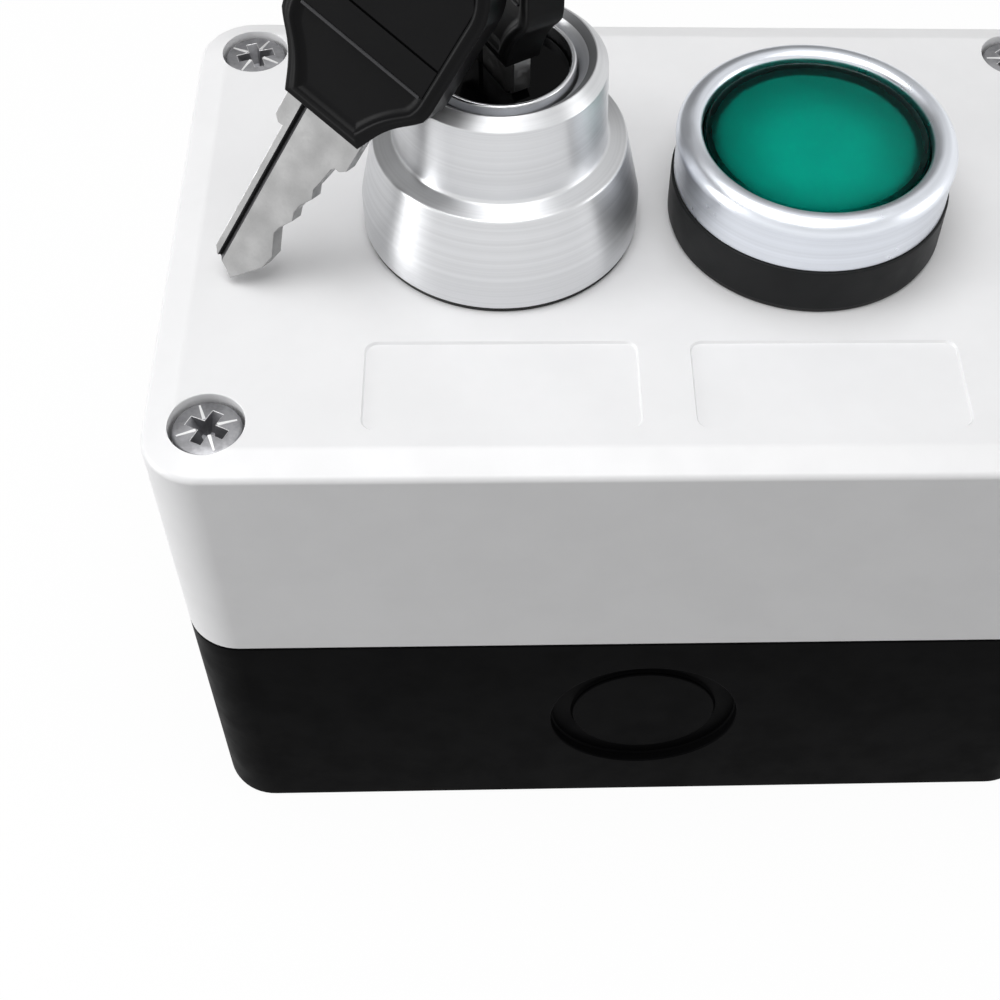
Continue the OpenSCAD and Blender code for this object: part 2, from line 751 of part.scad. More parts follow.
module key_blade() { color(nickel) at_key() key_metal(); }
module key_head() { color(black_abs) at_key() key_grip(); }
module spare_key_blade() { color(nickel) at_spare_key() key_metal(); }
module spare_key_head() { color(black_abs) at_spare_key() key_grip(); }

// Pushbutton

ring_top_z = box_h + ring_h;
bezel_top_z = box_h + bezel_h;
lens_top_z = bezel_top_z - lens_sink;
lens_z = lens_top_z - lens_h;
lens_r = bezel_hole_r - lens_gap;
lip_z = bezel_top_z - bezel_lip_h;
flange_z = lens_z - flange_t;
body_bore_r = plunger_r + plunger_gap;
body_floor_z = flange_z - press_travel - loose_gap;
neck_r = bezel_hole_r + body_neck_t;
plunger_end_z = stem_top_z + fit_gap;

module button_body() {
    at_button_head() color(black_abs) rotate_extrude() polygon([
        [body_bore_r, tube_end_z],
        [tube_r, tube_end_z],
        [tube_r, foot_z],
        [ring_r, foot_z],
        [ring_r, ring_top_z],
        [neck_r, ring_top_z],
        [neck_r, lip_z - fit_gap],
        [bezel_hole_r, lip_z - fit_gap],
        [bezel_hole_r, body_floor_z],
        [body_bore_r, body_floor_z]
    ]);
}

module button_bezel() {
    shoulder_z = bezel_top_z - bezel_round_r;
    at_button_head() color(bright_steel) rotate_extrude() difference() {
        polygon([
            [neck_r + fit_gap, ring_top_z],
            [bezel_r, ring_top_z],
            [bezel_r, bezel_top_z],
            [bezel_hole_r, bezel_top_z],
            [bezel_hole_r, lip_z],
            [neck_r + fit_gap, lip_z]
        ]);
        // The sharp corner outside the rounding
        translate([bezel_r - bezel_round_r, shoulder_z]) difference() {
            square(bezel_round_r + overrun);
            circle(r = bezel_round_r);
        }
    }
}

module button_lens() {
    at_button_head() color(lens_green, 0.8) rotate_extrude() polygon([
        [0, lens_top_z - lens_t],
        [lens_r - lens_t, lens_top_z - lens_t],
        [lens_r - lens_t, lens_z],
        [lens_r, lens_z],
        [lens_r, lens_top_z - lens_edge],
        [lens_r - lens_edge, lens_top_z],
        [0, lens_top_z]
    ]);
}

module button_diffuser() {
    top_z = lens_top_z - lens_t;
    at_button_head() color(pale_diffuser) rotate_extrude() polygon([
        [0, top_z - diffuser_t],
        [diffuser_r - diffuser_t, top_z - diffuser_t],
        [diffuser_r - diffuser_t, lens_z],
        [diffuser_r, lens_z],
        [diffuser_r, top_z],
        [0, top_z]
    ]);
}

module button_plunger() {
    hook_top_z = tube_end_z - fit_gap;
    leg_z = hook_top_z - snap_h;
    leg_t = plunger_r - plunger_bore_r;
    at_button_head() color(black_abs) union() {
        rotate_extrude() polygon([
            [plunger_bore_r, plunger_end_z],
            [plunger_r, plunger_end_z],
            [plunger_r, flange_z],
            [lens_r, flange_z],
            [lens_r, lens_z],
            [plunger_bore_r, lens_z]
        ]);
        for (turn = [0, 180]) rotate([0, 0, turn]) intersection() {
            union() {
                translate([0, 0, leg_z]) ring(plunger_r, plunger_r - leg_t, plunger_end_z - leg_z);
                translate([0, 0, leg_z]) ring(plunger_r + snap_reach, plunger_r - leg_t, snap_h);
            }
            translate([-snap_w * half, 0, leg_z])
                cube([snap_w, plunger_r + 2 * snap_reach, plunger_end_z - leg_z]);
        }
    }
}

module button_spring() {
    at_button_head() color(bright_steel) translate([0, 0, body_floor_z])
        ring(bezel_hole_r - lens_gap, body_bore_r + slide_gap, flange_z - body_floor_z);
}

// Lamp

module lamp_holder() {
    column_y = block_l * half - holder_column_l;
    at_button_head() color(block_grey) translate([0, 0, block_z]) union() {
        translate([-holder_w * half, -block_l * half, 0]) cube([holder_w, block_l, holder_h]);
        for (y = [-block_l * half, column_y])
            translate([-holder_w * half, y, 0]) cube([holder_w, holder_column_l, block_h]);
        cylinder(r = tower_r, h = block_h + tower_h);
    }
}

module lamp() {
    tower_top = block_z + block_h + tower_h;
    at_button_head() color(lens_green) translate([0, 0, tower_top]) intersection() {
        union() {
            cylinder(r = lamp_r, h = lamp_h - lamp_r);
            translate([0, 0, lamp_h - lamp_r]) sphere(r = lamp_r);
        }
        cylinder(r = 2 * lamp_r, h = lamp_h);
    }
}

// Contact blocks. Heights are counted from a block's bottom; the bridge stands one press travel
// off its contacts in a normally open block and rests against them in a normally closed one.

cavity_w = block_w - 2 * block_wall;
cavity_l = block_l - 2 * block_wall;
cavity_top = block_h - block_wall;
carrier_z = cavity_top - slide_gap - carrier_h;
open_tip_z = open_bar_z + bar_t + tip_h;
bridge_tip_z = open_tip_z + press_travel + fit_gap;
closed_bar_z = bridge_tip_z + bridge_t + 2 * tip_h + fit_gap;

function bar_z(closed) = closed ? closed_bar_z : open_bar_z;
function bridge_z(closed) = closed ? bridge_tip_z : bridge_tip_z + tip_h;
function terminal_z(closed) = bar_z(closed) - wire_room;

module at_block(side) {
    translate([side * block_offset, 0, block_z]) children();
}

module block_housing(closed) {
    hole_r = stem_r + stem_gap;
    color(block_grey) difference() {
        translate([-block_w * half, -block_l * half, 0]) cube([block_w, block_l, block_h]);
        translate([-cavity_w * half, -cavity_l * half, block_wall])
            cube([cavity_w, cavity_l, block_h - 2 * block_wall]);
        cylinder(r = hole_r, h = block_h + overrun);
        for (sy = sides) {
            translate([0, sy * terminal_y, -overrun])
                cylinder(r = terminal_head_d * half + slide_gap, h = block_h * half);
            translate([-wire_room, sy * (block_l * half) - wire_room, terminal_z(closed)])
                cube([2 * wire_room, 2 * wire_room, wire_room]);
        }
        translate([0, 0, -overrun]) cylinder(r = spring_r * half, h = block_wall * half + overrun);
    }
}

module block_plunger(closed) {
    carrier_top = carrier_z + carrier_h;
    dome_z = block_h + stem_h - stem_r;
    color(closed ? closed_red : open_green) union() {
        difference() {
            translate([-carrier_w * half, -carrier_l * half, carrier_z])
                cube([carrier_w, carrier_l, carrier_h]);
            translate([-bridge_w * half, -carrier_l, bridge_z(closed)])
                cube([bridge_w, 2 * carrier_l, bridge_t]);
        }
        translate([0, 0, carrier_top]) cylinder(r = stem_r, h = dome_z - carrier_top);
        translate([0, 0, dome_z]) sphere(r = stem_r);
    }
}

module block_bridge(closed) {
    tip_z = closed ? bridge_z(closed) + bridge_t : bridge_z(closed) - tip_h;
    color(contact_silver) union() {
        translate([-bridge_w * half, -bridge_l * half, bridge_z(closed)])
            cube([bridge_w, bridge_l, bridge_t]);
        for (sy = sides) translate([0, sy * tip_y, tip_z]) cylinder(r = tip_r, h = tip_h);
    }
}

module block_spring() {
    color(bright_steel) translate([0, 0, block_wall])
        ring(spring_r, spring_r - spring_wire, carrier_z - block_wall);
}

module block_contacts(closed) {
    tip_z = closed ? bar_z(closed) - tip_h : bar_z(closed) + bar_t;
    color(contact_brass) for (sy = sides) difference() {
        union() {
            translate([-cavity_w * half, sy > 0 ? bar_start : -cavity_l * half, bar_z(closed)])
                cube([cavity_w, cavity_l * half - bar_start, bar_t]);
            translate([0, sy * tip_y, tip_z]) cylinder(r = tip_r, h = tip_h);
        }
        translate([0, sy * terminal_y, bar_z(closed) - overrun])
            cylinder(r = terminal_screw_d * half + fit_gap * half, h = bar_t + 2 * overrun);
    }
}

module block_terminals(closed) {
    color(zinc) for (sy = sides) translate([0, sy * terminal_y, terminal_z(closed)]) rotate([180, 0, 0])
        cross_screw(terminal_head_d * half, terminal_head_h, terminal_screw_d * half, terminal_screw_l);
}

module key_no_housing() { at_key_head() at_block(-1) block_housing(false); }
module key_no_plunger() { at_key_head() at_block(-1) block_plunger(false); }
module key_no_bridge() { at_key_head() at_block(-1) block_bridge(false); }
module key_no_spring() { at_key_head() at_block(-1) block_spring(); }
module key_no_contacts() { at_key_head() at_block(-1) block_contacts(false); }
module key_no_terminals() { at_key_head() at_block(-1) block_terminals(false); }
module key_nc_housing() { at_key_head() at_block(1) block_housing(true); }
module key_nc_plunger() { at_key_head() at_block(1) block_plunger(true); }
module key_nc_bridge() { at_key_head() at_block(1) block_bridge(true); }
module key_nc_spring() { at_key_head() at_block(1) block_spring(); }
module key_nc_contacts() { at_key_head() at_block(1) block_contacts(true); }
module key_nc_terminals() { at_key_head() at_block(1) block_terminals(true); }
module button_no_housing() { at_button_head() at_block(-1) block_housing(false); }
module button_no_plunger() { at_button_head() at_block(-1) block_plunger(false); }
module button_no_bridge() { at_button_head() at_block(-1) block_bridge(false); }
module button_no_spring() { at_button_head() at_block(-1) block_spring(); }
module button_no_contacts() { at_button_head() at_block(-1) block_contacts(false); }
module button_no_terminals() { at_button_head() at_block(-1) block_terminals(false); }
module button_nc_housing() { at_button_head() at_block(1) block_housing(true); }
module button_nc_plunger() { at_button_head() at_block(1) block_plunger(true); }
module button_nc_bridge() { at_button_head() at_block(1) block_bridge(true); }
module button_nc_spring() { at_button_head() at_block(1) block_spring(); }
module button_nc_contacts() { at_button_head() at_block(1) block_contacts(true); }
module button_nc_terminals() { at_button_head() at_block(1) block_terminals(true); }

base();
lid();
lid_seal();
lid_screws();
key_gasket();
key_collar();
key_body();
key_fixing_collar();
key_clamp_screws();
lock_sleeve();
lock_plug();
lock_face_cap();
lock_wafers();
lock_cam();
key_blade();
key_head();
spare_key_blade();
spare_key_head();
button_gasket();
button_body();
button_fixing_collar();
button_clamp_screws();
button_bezel();
button_lens();
button_diffuser();
button_plunger();
button_spring();
lamp_holder();
lamp();
key_no_housing();
key_no_plunger();
key_no_bridge();
key_no_spring();
key_no_contacts();
key_no_terminals();
key_nc_housing();
key_nc_plunger();
key_nc_bridge();
key_nc_spring();
key_nc_contacts();
key_nc_terminals();
button_no_housing();
button_no_plunger();
button_no_bridge();
button_no_spring();
button_no_contacts();
button_no_terminals();
button_nc_housing();
button_nc_plunger();
button_nc_bridge();
button_nc_spring();
button_nc_contacts();
button_nc_terminals();
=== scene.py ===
"""Looks of a two-hole control box with a key switch, a spare key and a lit pushbutton.

Sizes in the classes are millimetres, as on the drawing of such a box. Every finished mesh is in
metres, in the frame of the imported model: the origin is under the middle of the box, X runs from the
key switch to the pushbutton, Y away from the label side, and Z up out of the lid.
"""

import logging
import math
from dataclasses import dataclass, field
from enum import Enum
from typing import Callable, Iterable, Optional, Sequence

import bmesh
import bpy
from mathutils import Euler, Matrix, Vector


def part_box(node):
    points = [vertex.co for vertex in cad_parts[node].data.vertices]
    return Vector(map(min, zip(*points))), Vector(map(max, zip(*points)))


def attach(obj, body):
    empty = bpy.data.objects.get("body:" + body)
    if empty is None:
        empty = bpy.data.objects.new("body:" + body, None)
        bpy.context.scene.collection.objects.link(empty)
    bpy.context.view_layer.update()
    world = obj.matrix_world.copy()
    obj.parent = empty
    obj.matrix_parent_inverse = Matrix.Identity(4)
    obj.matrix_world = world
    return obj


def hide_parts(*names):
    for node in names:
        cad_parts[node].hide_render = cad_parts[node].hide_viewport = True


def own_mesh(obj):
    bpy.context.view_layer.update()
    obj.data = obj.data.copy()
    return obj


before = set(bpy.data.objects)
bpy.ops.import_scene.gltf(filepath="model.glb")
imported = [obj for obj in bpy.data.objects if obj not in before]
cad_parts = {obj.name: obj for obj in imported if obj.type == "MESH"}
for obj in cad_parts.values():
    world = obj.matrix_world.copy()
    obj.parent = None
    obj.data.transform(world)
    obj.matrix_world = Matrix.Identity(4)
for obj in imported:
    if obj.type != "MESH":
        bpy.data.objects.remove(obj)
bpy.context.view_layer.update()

LOG = logging.getLogger("control_box")
MM = 0.001
HALF = 0.5
SIDES = (-1, 1)
FULL_TURN = 2 * math.pi
QUARTER_TURN = math.pi / 2
ORIGIN = (0.0, 0.0)
UP = (0.0, 0.0, 1.0)
WHITE = (1.0, 1.0, 1.0, 1.0)
# Anisotropic rotation, in turns, that draws a highlight out across the rings
ACROSS_RINGS = 0.25
# The span that a noise texture's values mostly keep to
NOISE_LOW, NOISE_HIGH = 0.3, 0.7
LEAST_ROUGHNESS = 0.02
# Heights that differ by less count as level, and points that are nearer become one
LEVEL_MM = 0.001
WELD_MM = 0.0005
MERGE_MM = 0.0004
SLIVER_MM = 0.0002
# A face's middle that is nearer to a height than this lies on it
TOUCH_MM = 0.02
# How far a cutter runs past the face that it cuts, and a small one, or a shape into one it is joined to
OVERRUN = 1.0
OVERLAP = 0.5

Point = tuple[float, float]
Place = tuple[float, float, float]
Socket = bpy.types.NodeSocket
Tree = bpy.types.NodeTree


def linear(colour: str) -> tuple[float, float, float, float]:
    """Turns an sRGB hex colour into the linear colour that Blender's sockets take.

    Args:
        colour: six hex digits, such as "EDEDED".

    Returns:
        Linear red, green, blue and an alpha of 1.
    """
    channels = [int(colour[i:i + 2], 16) / 255 for i in (0, 2, 4)]
    red, green, blue = (c / 12.92 if c <= 0.04045 else ((c + 0.055) / 1.055) ** 2.4 for c in channels)
    return (red, green, blue, 1.0)


def add_node(tree: Tree, kind: str, inputs: Optional[dict] = None, **settings) -> bpy.types.Node:
    """Adds one node with its settings and links.

    Args:
        tree: the node tree that gets the node.
        kind: the node's type after "ShaderNode", such as "Bump".
        inputs: what goes into each socket, by name or number: a value, or a socket to link from.
        **settings: the node's own properties.

    Returns:
        The new node.
    """
    made = tree.nodes.new("ShaderNode" + kind)
    for name, value in settings.items():
        setattr(made, name, value)
    for key, value in (inputs or {}).items():
        if isinstance(value, Socket):
            tree.links.new(value, made.inputs[key])
        else:
            made.inputs[key].default_value = value
    return made


def fresh_tree(owner: bpy.types.ID) -> Tree:
    """Gives a material's or world's node tree, emptied.

    Args:
        owner: the material or world.

    Returns:
        Its node tree, with no nodes left.
    """
    owner.use_nodes = True
    owner.node_tree.nodes.clear()
    return owner.node_tree


def linked(name: str, data: bpy.types.ID) -> bpy.types.Object:
    """Makes an object of a mesh, lamp or camera and puts it in the scene.

    Args:
        name: the object's name.
        data: the mesh, lamp or camera.

    Returns:
        The object.
    """
    made = bpy.data.objects.new(name, data)
    bpy.context.scene.collection.objects.link(made)
    return made


def mesh_of(name: str, shape: bmesh.types.BMesh) -> bpy.types.Mesh:
    """Makes a mesh of a bmesh, which is used up.

    Args:
        name: the mesh's name.
        shape: the bmesh.

    Returns:
        The mesh.
    """
    mesh = bpy.data.meshes.new(name)
    shape.to_mesh(mesh)
    shape.free()
    return mesh


def grey(share: float) -> tuple[float, float, float, float]:
    """Gives a linear grey."""
    return (share, share, share, 1.0)


def about_z(degrees: float) -> Matrix:
    """Gives a turn about Z."""
    return Matrix.Rotation(math.radians(degrees), 4, "Z")


def mirrored(point: Point) -> list[Point]:
    """Gives a point in the box's plan and its mirror images in both middle lines."""
    return [(sx * point[0], sy * point[1]) for sx in SIDES for sy in SIDES]


class Pattern(Enum):
    """How a finish's surface was made, which decides the direction of its grain."""

    MOULDED = "moulded in a spark-eroded or polished tool"
    TURNED = "turned on a lathe, with rings round the piece's axis"
    MILLED = "milled or rolled, with fine lines along one direction"
    CAST = "dull and even, such as rubber"


@dataclass(frozen=True)
class Finish:
    """One material, with the typical values of what the real surface is.

    grain is the size of the grain or the spacing of the tool marks, and how deep they are, in
    millimetres. drift is how far the roughness wanders over drift_mm, and shade how much darker the
    colour gets in places. gloss is the share of the plain sheen that is left where a rough grain
    traps the light, and mirror_tint the colour of that sheen where a dye takes a part of it. streak
    is how far the rings of a turned face draw a highlight out along its axis. stretch draws the
    lines of a milled face out along one direction.
    """

    name: str
    colour: str
    roughness: float
    pattern: Pattern = Pattern.MOULDED
    metallic: float = 0.0
    ior: float = 1.5
    gloss: float = 1.0
    mirror_tint: str = "FFFFFF"
    streak: float = 0.0
    transmission: float = 0.0
    grain: Point = (0.4, 0.004)
    drift_mm: float = 9.0
    drift: float = 0.05
    shade: float = 0.06
    axis: Point = ORIGIN
    stretch: Place = (1.0, 1.0, 1.0)

    def coordinates(self, tree: Tree) -> Socket:
        """Gives the place of a point in the way that the grain runs.

        Args:
            tree: the material's node tree.

        Returns:
            A vector socket in metres.
        """
        place = add_node(tree, "TexCoord").outputs["Object"]
        if self.pattern is Pattern.TURNED:
            across = self.from_axis(tree)
            height = add_node(tree, "SeparateXYZ", {0: place}).outputs[2]
            radius = add_node(tree, "VectorMath", {0: across}, operation="LENGTH")
            return add_node(tree, "CombineXYZ", {0: radius.outputs["Value"], 2: height}).outputs[0]
        if self.pattern is Pattern.MILLED:
            return add_node(tree, "Mapping", {"Vector": place, "Scale": self.stretch}).outputs[0]
        return place

    def from_axis(self, tree: Tree) -> Socket:
        """Gives the level vector from the turning axis to a point.

        Args:
            tree: the material's node tree.

        Returns:
            A vector socket in metres.
        """
        place = add_node(tree, "TexCoord").outputs["Object"]
        centred = add_node(tree, "Mapping", {
            "Vector": place, "Location": (-self.axis[0] * MM, -self.axis[1] * MM, 0.0)})
        return add_node(tree, "VectorMath", {0: centred.outputs[0], 1: (1.0, 1.0, 0.0)},
                        operation="MULTIPLY").outputs[0]

    def ring_direction(self, tree: Tree) -> Socket:
        """Gives the direction of the turning rings at a point.

        Args:
            tree: the material's node tree.

        Returns:
            A vector socket.
        """
        tangent = add_node(tree, "VectorMath", {0: UP, 1: self.from_axis(tree)}, operation="CROSS_PRODUCT")
        return add_node(tree, "VectorTransform", {0: tangent.outputs[0]}, vector_type="VECTOR",
                        convert_from="OBJECT", convert_to="WORLD").outputs[0]

    def roughness_socket(self, tree: Tree, plain: Socket) -> Socket:
        """Gives the roughness, which wanders a little over the surface.

        Args:
            tree: the material's node tree.
            plain: the point's plain coordinates.

        Returns:
            A value socket.
        """
        smoothest = max(self.roughness - self.drift, LEAST_ROUGHNESS)
        return self.wander(tree, plain, self.drift_mm * HALF, smoothest, self.roughness + self.drift)

    def wander(self, tree: Tree, place: Socket, size_mm: float, low: float, high: float) -> Socket:
        """Gives a value that drifts softly over the surface.

        Args:
            tree: the material's node tree.
            place: the point's coordinates.
            size_mm: the size of the patches.
            low: the least value.
            high: the greatest value.

        Returns:
            A value socket.
        """
        noise = add_node(tree, "TexNoise", {
            "Vector": place, "Scale": 1 / (size_mm * MM), "Detail": 3.0, "Roughness": 0.6})
        return add_node(tree, "MapRange", {
            "Value": noise.outputs["Fac"], "From Min": NOISE_LOW, "From Max": NOISE_HIGH,
            "To Min": low, "To Max": high}, interpolation_type="SMOOTHSTEP").outputs[0]

    def shade_socket(self, tree: Tree, place: Socket, plain: Socket) -> Socket:
        """Gives how far the colour is shaded, from 0 to 1: in rings on a turned face, in clouds elsewhere.

        Args:
            tree: the material's node tree.
            place: the point's place in the way that the grain runs.
            plain: the point's plain coordinates.

        Returns:
            A value socket.
        """
        if self.pattern is Pattern.TURNED:
            return self.wander(tree, place, self.grain[0], 0.0, 1.0)
        return self.wander(tree, plain, self.drift_mm, 0.0, 1.0)

    def material(self) -> bpy.types.Material:
        """Makes the material, or finds it where it was made before.

        Returns:
            The material.
        """
        known = bpy.data.materials.get(self.name)
        if known:
            return known
        made = bpy.data.materials.new(self.name)
        tree = fresh_tree(made)
        place = self.coordinates(tree)
        plain = add_node(tree, "TexCoord").outputs["Object"]
        colour = add_node(tree, "Mix", {
            "Factor": self.shade_socket(tree, place, plain), "A": linear(self.colour),
            "B": tuple(c * (1 - self.shade) for c in linear(self.colour)[:3]) + (1.0,)}, data_type="RGBA")
        grain = add_node(tree, "TexNoise", {
            "Vector": place, "Scale": 1 / (self.grain[0] * MM), "Detail": 2.0, "Roughness": 0.5})
        bump = add_node(tree, "Bump", {
            "Strength": 1.0, "Distance": self.grain[1] * MM, "Height": grain.outputs["Fac"]})
        inputs = {
            "Base Color": colour.outputs["Result"], "Roughness": self.roughness_socket(tree, plain),
            "Metallic": self.metallic, "IOR": self.ior, "Specular IOR Level": self.gloss * HALF,
            "Specular Tint": linear(self.mirror_tint), "Transmission Weight": self.transmission,
            "Normal": bump.outputs["Normal"]}
        if self.streak:
            inputs |= {"Anisotropic": self.streak, "Anisotropic Rotation": ACROSS_RINGS,
                       "Tangent": self.ring_direction(tree)}
        shader = add_node(tree, "BsdfPrincipled", inputs)
        add_node(tree, "OutputMaterial", {"Surface": shader.outputs[0]})
        return made


@dataclass(frozen=True)
class FrostedUnderside(Finish):
    """A clear finish whose hidden inner face is frosted, so that what lies under it shows softly."""

    frosted_below_mm: float = 0.0
    frosted_roughness: float = 0.75

    def roughness_socket(self, tree: Tree, plain: Socket) -> Socket:
        """Gives the plain roughness above a height and the frosted one below it.

        Args:
            tree: the material's node tree.
            plain: the point's plain coordinates.

        Returns:
            A value socket.
        """
        height = add_node(tree, "SeparateXYZ", {0: plain}).outputs[2]
        below = add_node(tree, "Math", {0: height, 1: self.frosted_below_mm * MM}, operation="LESS_THAN")
        mixed = add_node(tree, "Mix", {
            "Factor": below.outputs[0], "A": super().roughness_socket(tree, plain),
            "B": self.frosted_roughness}, data_type="FLOAT")
        return mixed.outputs["Result"]


@dataclass(frozen=True)
class ShadedRim(Finish):
    """A milky disc whose colour is painted lightest in its middle and darker towards its rim, as painted
    shade of a disc lit from its middle.
    """

    bright_r: float = 0.0
    dark_r: float = 1.0

    def shade_socket(self, tree: Tree, place: Socket, plain: Socket) -> Socket:
        """Gives 0 in the lit middle and 1 at the rim, where the colour is painted darkest as painted shade.

        Args:
            tree: the material's node tree.
            place: the point's place in the way that the grain runs.
            plain: the point's plain coordinates.

        Returns:
            A value socket.
        """
        radius = add_node(tree, "VectorMath", {0: self.from_axis(tree)}, operation="LENGTH")
        return add_node(tree, "MapRange", {
            "Value": radius.outputs["Value"], "From Min": self.bright_r * MM, "From Max": self.dark_r * MM},
            interpolation_type="SMOOTHSTEP").outputs[0]


KEY_AXIS: Point = (-16.1, 0.75)
BUTTON_AXIS: Point = (16.1, 0.75)
KEY_HEADING = -60.0
LID_TOP = 65.0
HEAD_HOLE_R = 11.15
GASKET_T = 0.5
GASKET_EDGE_R = 0.12
# Where the keys' shoulders stand; the leaning one's place is measured from the key switch's axis
KEY_IN_LOCK_Z = 84.0
LEANING_AT: Place = (-17.72, -7.78, 81.3)
LEANING_TURN: Place = (-21.0, 22.4, -33.9)


def metal(name: str, colour: str, roughness: float, pattern: Pattern = Pattern.CAST, **more) -> Finish:
    """Gives the finish of a bare or plated metal."""
    return Finish(name, colour, roughness, pattern, metallic=1.0, **more)


# White ABS from a finely spark-eroded tool: even, pale, with a broad soft sheen
WHITE_ABS = Finish("white_abs_moulded", "E9E9EA", 0.36, grain=(0.35, 0.0025), shade=0.03, ior=1.54,
                   drift=0.04)
# Black ABS with a grain that traps the light: nearly black on its faces, a faint sheen on its edges
BLACK_ABS = Finish("black_abs_moulded", "0A0A0B", 0.42, gloss=0.02, grain=(0.45, 0.006), shade=0.3, ior=1.54,
                   drift=0.06)
# Black polyamide of the button's body: duller and a little greyer than the box
BLACK_PA = Finish("black_polyamide_moulded", "18191A", 0.52, gloss=0.3, grain=(0.3, 0.008), shade=0.2,
                  ior=1.53)
# Polished black cap of the plug, which mirrors the key's blade
BLACK_GLOSS = Finish("black_abs_polished", "050506", 0.09, gloss=0.25, grain=(1.2, 0.001), shade=0.1,
                     drift=0.02)
# Black plastic of the key heads, worn a little smoother than the box
KEY_PLASTIC = Finish("black_key_plastic_moulded", "111112", 0.34, gloss=0.17, grain=(0.28, 0.005), shade=0.25)
# The rib across the key heads, painted a lighter grey as a painted highlight where its edges catch the light
KEY_PLASTIC_PAINTED_HIGHLIGHT = Finish("black_key_plastic_painted_highlight", "38383A", 0.4, gloss=0.5, grain=(0.28, 0.004),
                          shade=0.25)
# Turned and satin-finished aluminium: the rings draw every highlight out along the axis
TURNED_ALUMINIUM = metal("aluminium_turned_satin", "DEDFE1", 0.37, Pattern.TURNED, streak=0.75,
                         grain=(0.5, 0.0012), shade=0.1, drift=0.02, axis=KEY_AXIS)
# The bevel inside the collar's rim: a darker copy of the turned aluminium, painted shade that stands in for
# the dark reflection there
ALUMINIUM_PAINTED_SHADE = metal("aluminium_turned_painted_shade", "8A8B8D", 0.5, Pattern.TURNED, streak=0.5,
                       grain=(0.4, 0.0012), shade=0.15, drift=0.02, axis=KEY_AXIS)
# Chrome over brass, cloudy from handling, with a cool tint
CHROME = metal("chrome_plated_ring", "EBEFF6", 0.31, Pattern.TURNED, grain=(0.9, 0.001), shade=0.12,
               drift=0.04, drift_mm=8.0, axis=BUTTON_AXIS)
# Bright chrome of the lock's sleeve
CHROME_BRIGHT = metal("chrome_plated_sleeve", "ECEDF0", 0.22, Pattern.TURNED, grain=(0.9, 0.001), shade=0.1,
                      drift=0.02, drift_mm=4.0, axis=KEY_AXIS)
# Nickel-plated key brass, milled flat: grey, with fine lines and clouds
KEY_METAL = metal("nickel_plated_brass_milled", "ADADAD", 0.38, Pattern.MILLED, grain=(0.5, 0.004),
                  shade=0.25, drift=0.1, drift_mm=2.0, stretch=(1.0, 1.0, 0.25))
# The walls of the key's groove, a darker copy of the key metal painted as shade inside the groove
GROOVE_WALL_PAINTED_SHADE = metal("nickel_plated_brass_painted_shade", "6E6E70", 0.5, Pattern.MILLED, grain=(0.5, 0.004),
                    shade=0.3, stretch=(1.0, 1.0, 0.25))
# The bottom of the key's groove, painted near black as painted shade in the groove
GROOVE_FLOOR_PAINTED_SHADE = Finish("key_groove_painted_shade", "0C0C0C", 0.6, gloss=0.2, grain=(0.3, 0.004), shade=0.3)
# Zinc-plated steel of the screws: a dull grey with cloudy patches
ZINC = metal("steel_zinc_plated", "A9A9AC", 0.46, grain=(0.5, 0.006), shade=0.35, drift=0.05, drift_mm=1.6)
# The screws' marks and the edges of their recesses, painted near white as painted glints
ZINC_PAINTED_GLINT = metal("steel_zinc_painted_glint", "F6F6F6", 0.55, grain=(0.6, 0.004), shade=0.1)
SPRING_STEEL = metal("spring_steel_drawn", "A9ABAE", 0.28, grain=(0.3, 0.002), shade=0.15)
# Clear green polycarbonate of the lens, polished outside and frosted inside. Its index is set below the
# real 1.58 and its sheen is green, because the photographed lens mirrors next to nothing
LENS_GREEN = FrostedUnderside("green_polycarbonate_polished", "00C8BE", 0.06, ior=1.2, mirror_tint="00FFF4",
                              transmission=1.0, grain=(3.0, 0.002), shade=0.05, drift=0.02,
                              frosted_below_mm=75.8)
# Milky polycarbonate that spreads the lamp's light under the lens; its colour is painted lightest a little in
# front of its middle and darker towards its rim, as painted light and shade
DIFFUSER = ShadedRim("milky_polycarbonate_moulded", "DAF0E6", 0.5, gloss=0.5, ior=1.58, grain=(0.6, 0.002),
                     shade=0.55, axis=(16.1, -1.2), bright_r=3.5, dark_r=11.0)
LAMP_GREEN = Finish("green_lamp_cap", "5FD68A", 0.12, transmission=0.6, grain=(2.0, 0.001))
RUBBER = Finish("black_rubber_pressed", "161616", 0.72, Pattern.CAST, grain=(0.25, 0.006), shade=0.2)
BRASS = metal("brass_drawn", "B99A56", 0.3, grain=(0.3, 0.002), shade=0.2)
SILVER = metal("silver_plated_copper", "D6D5CF", 0.25, grain=(0.3, 0.002), shade=0.12)
GREY_PA = Finish("grey_polyamide_moulded", "4A4C50", 0.48, grain=(0.35, 0.006), ior=1.53)
GREEN_PA = Finish("green_polyamide_moulded", "2E7D4A", 0.45, grain=(0.35, 0.005), ior=1.53)
RED_PA = Finish("red_polyamide_moulded", "A02820", 0.45, grain=(0.35, 0.005), ior=1.53)


def arc(centre: Point, radius: float, start: float, end: float, steps: int) -> list[Point]:
    """Gives points along an arc.

    Args:
        centre: the arc's centre.
        radius: its radius.
        start: the angle where it starts, in degrees.
        end: the angle where it ends, in degrees.
        steps: how many steps it has.

    Returns:
        steps + 1 points.
    """
    angles = [math.radians(start + (end - start) * i / steps) for i in range(steps + 1)]
    return [(centre[0] + radius * math.cos(a), centre[1] + radius * math.sin(a)) for a in angles]


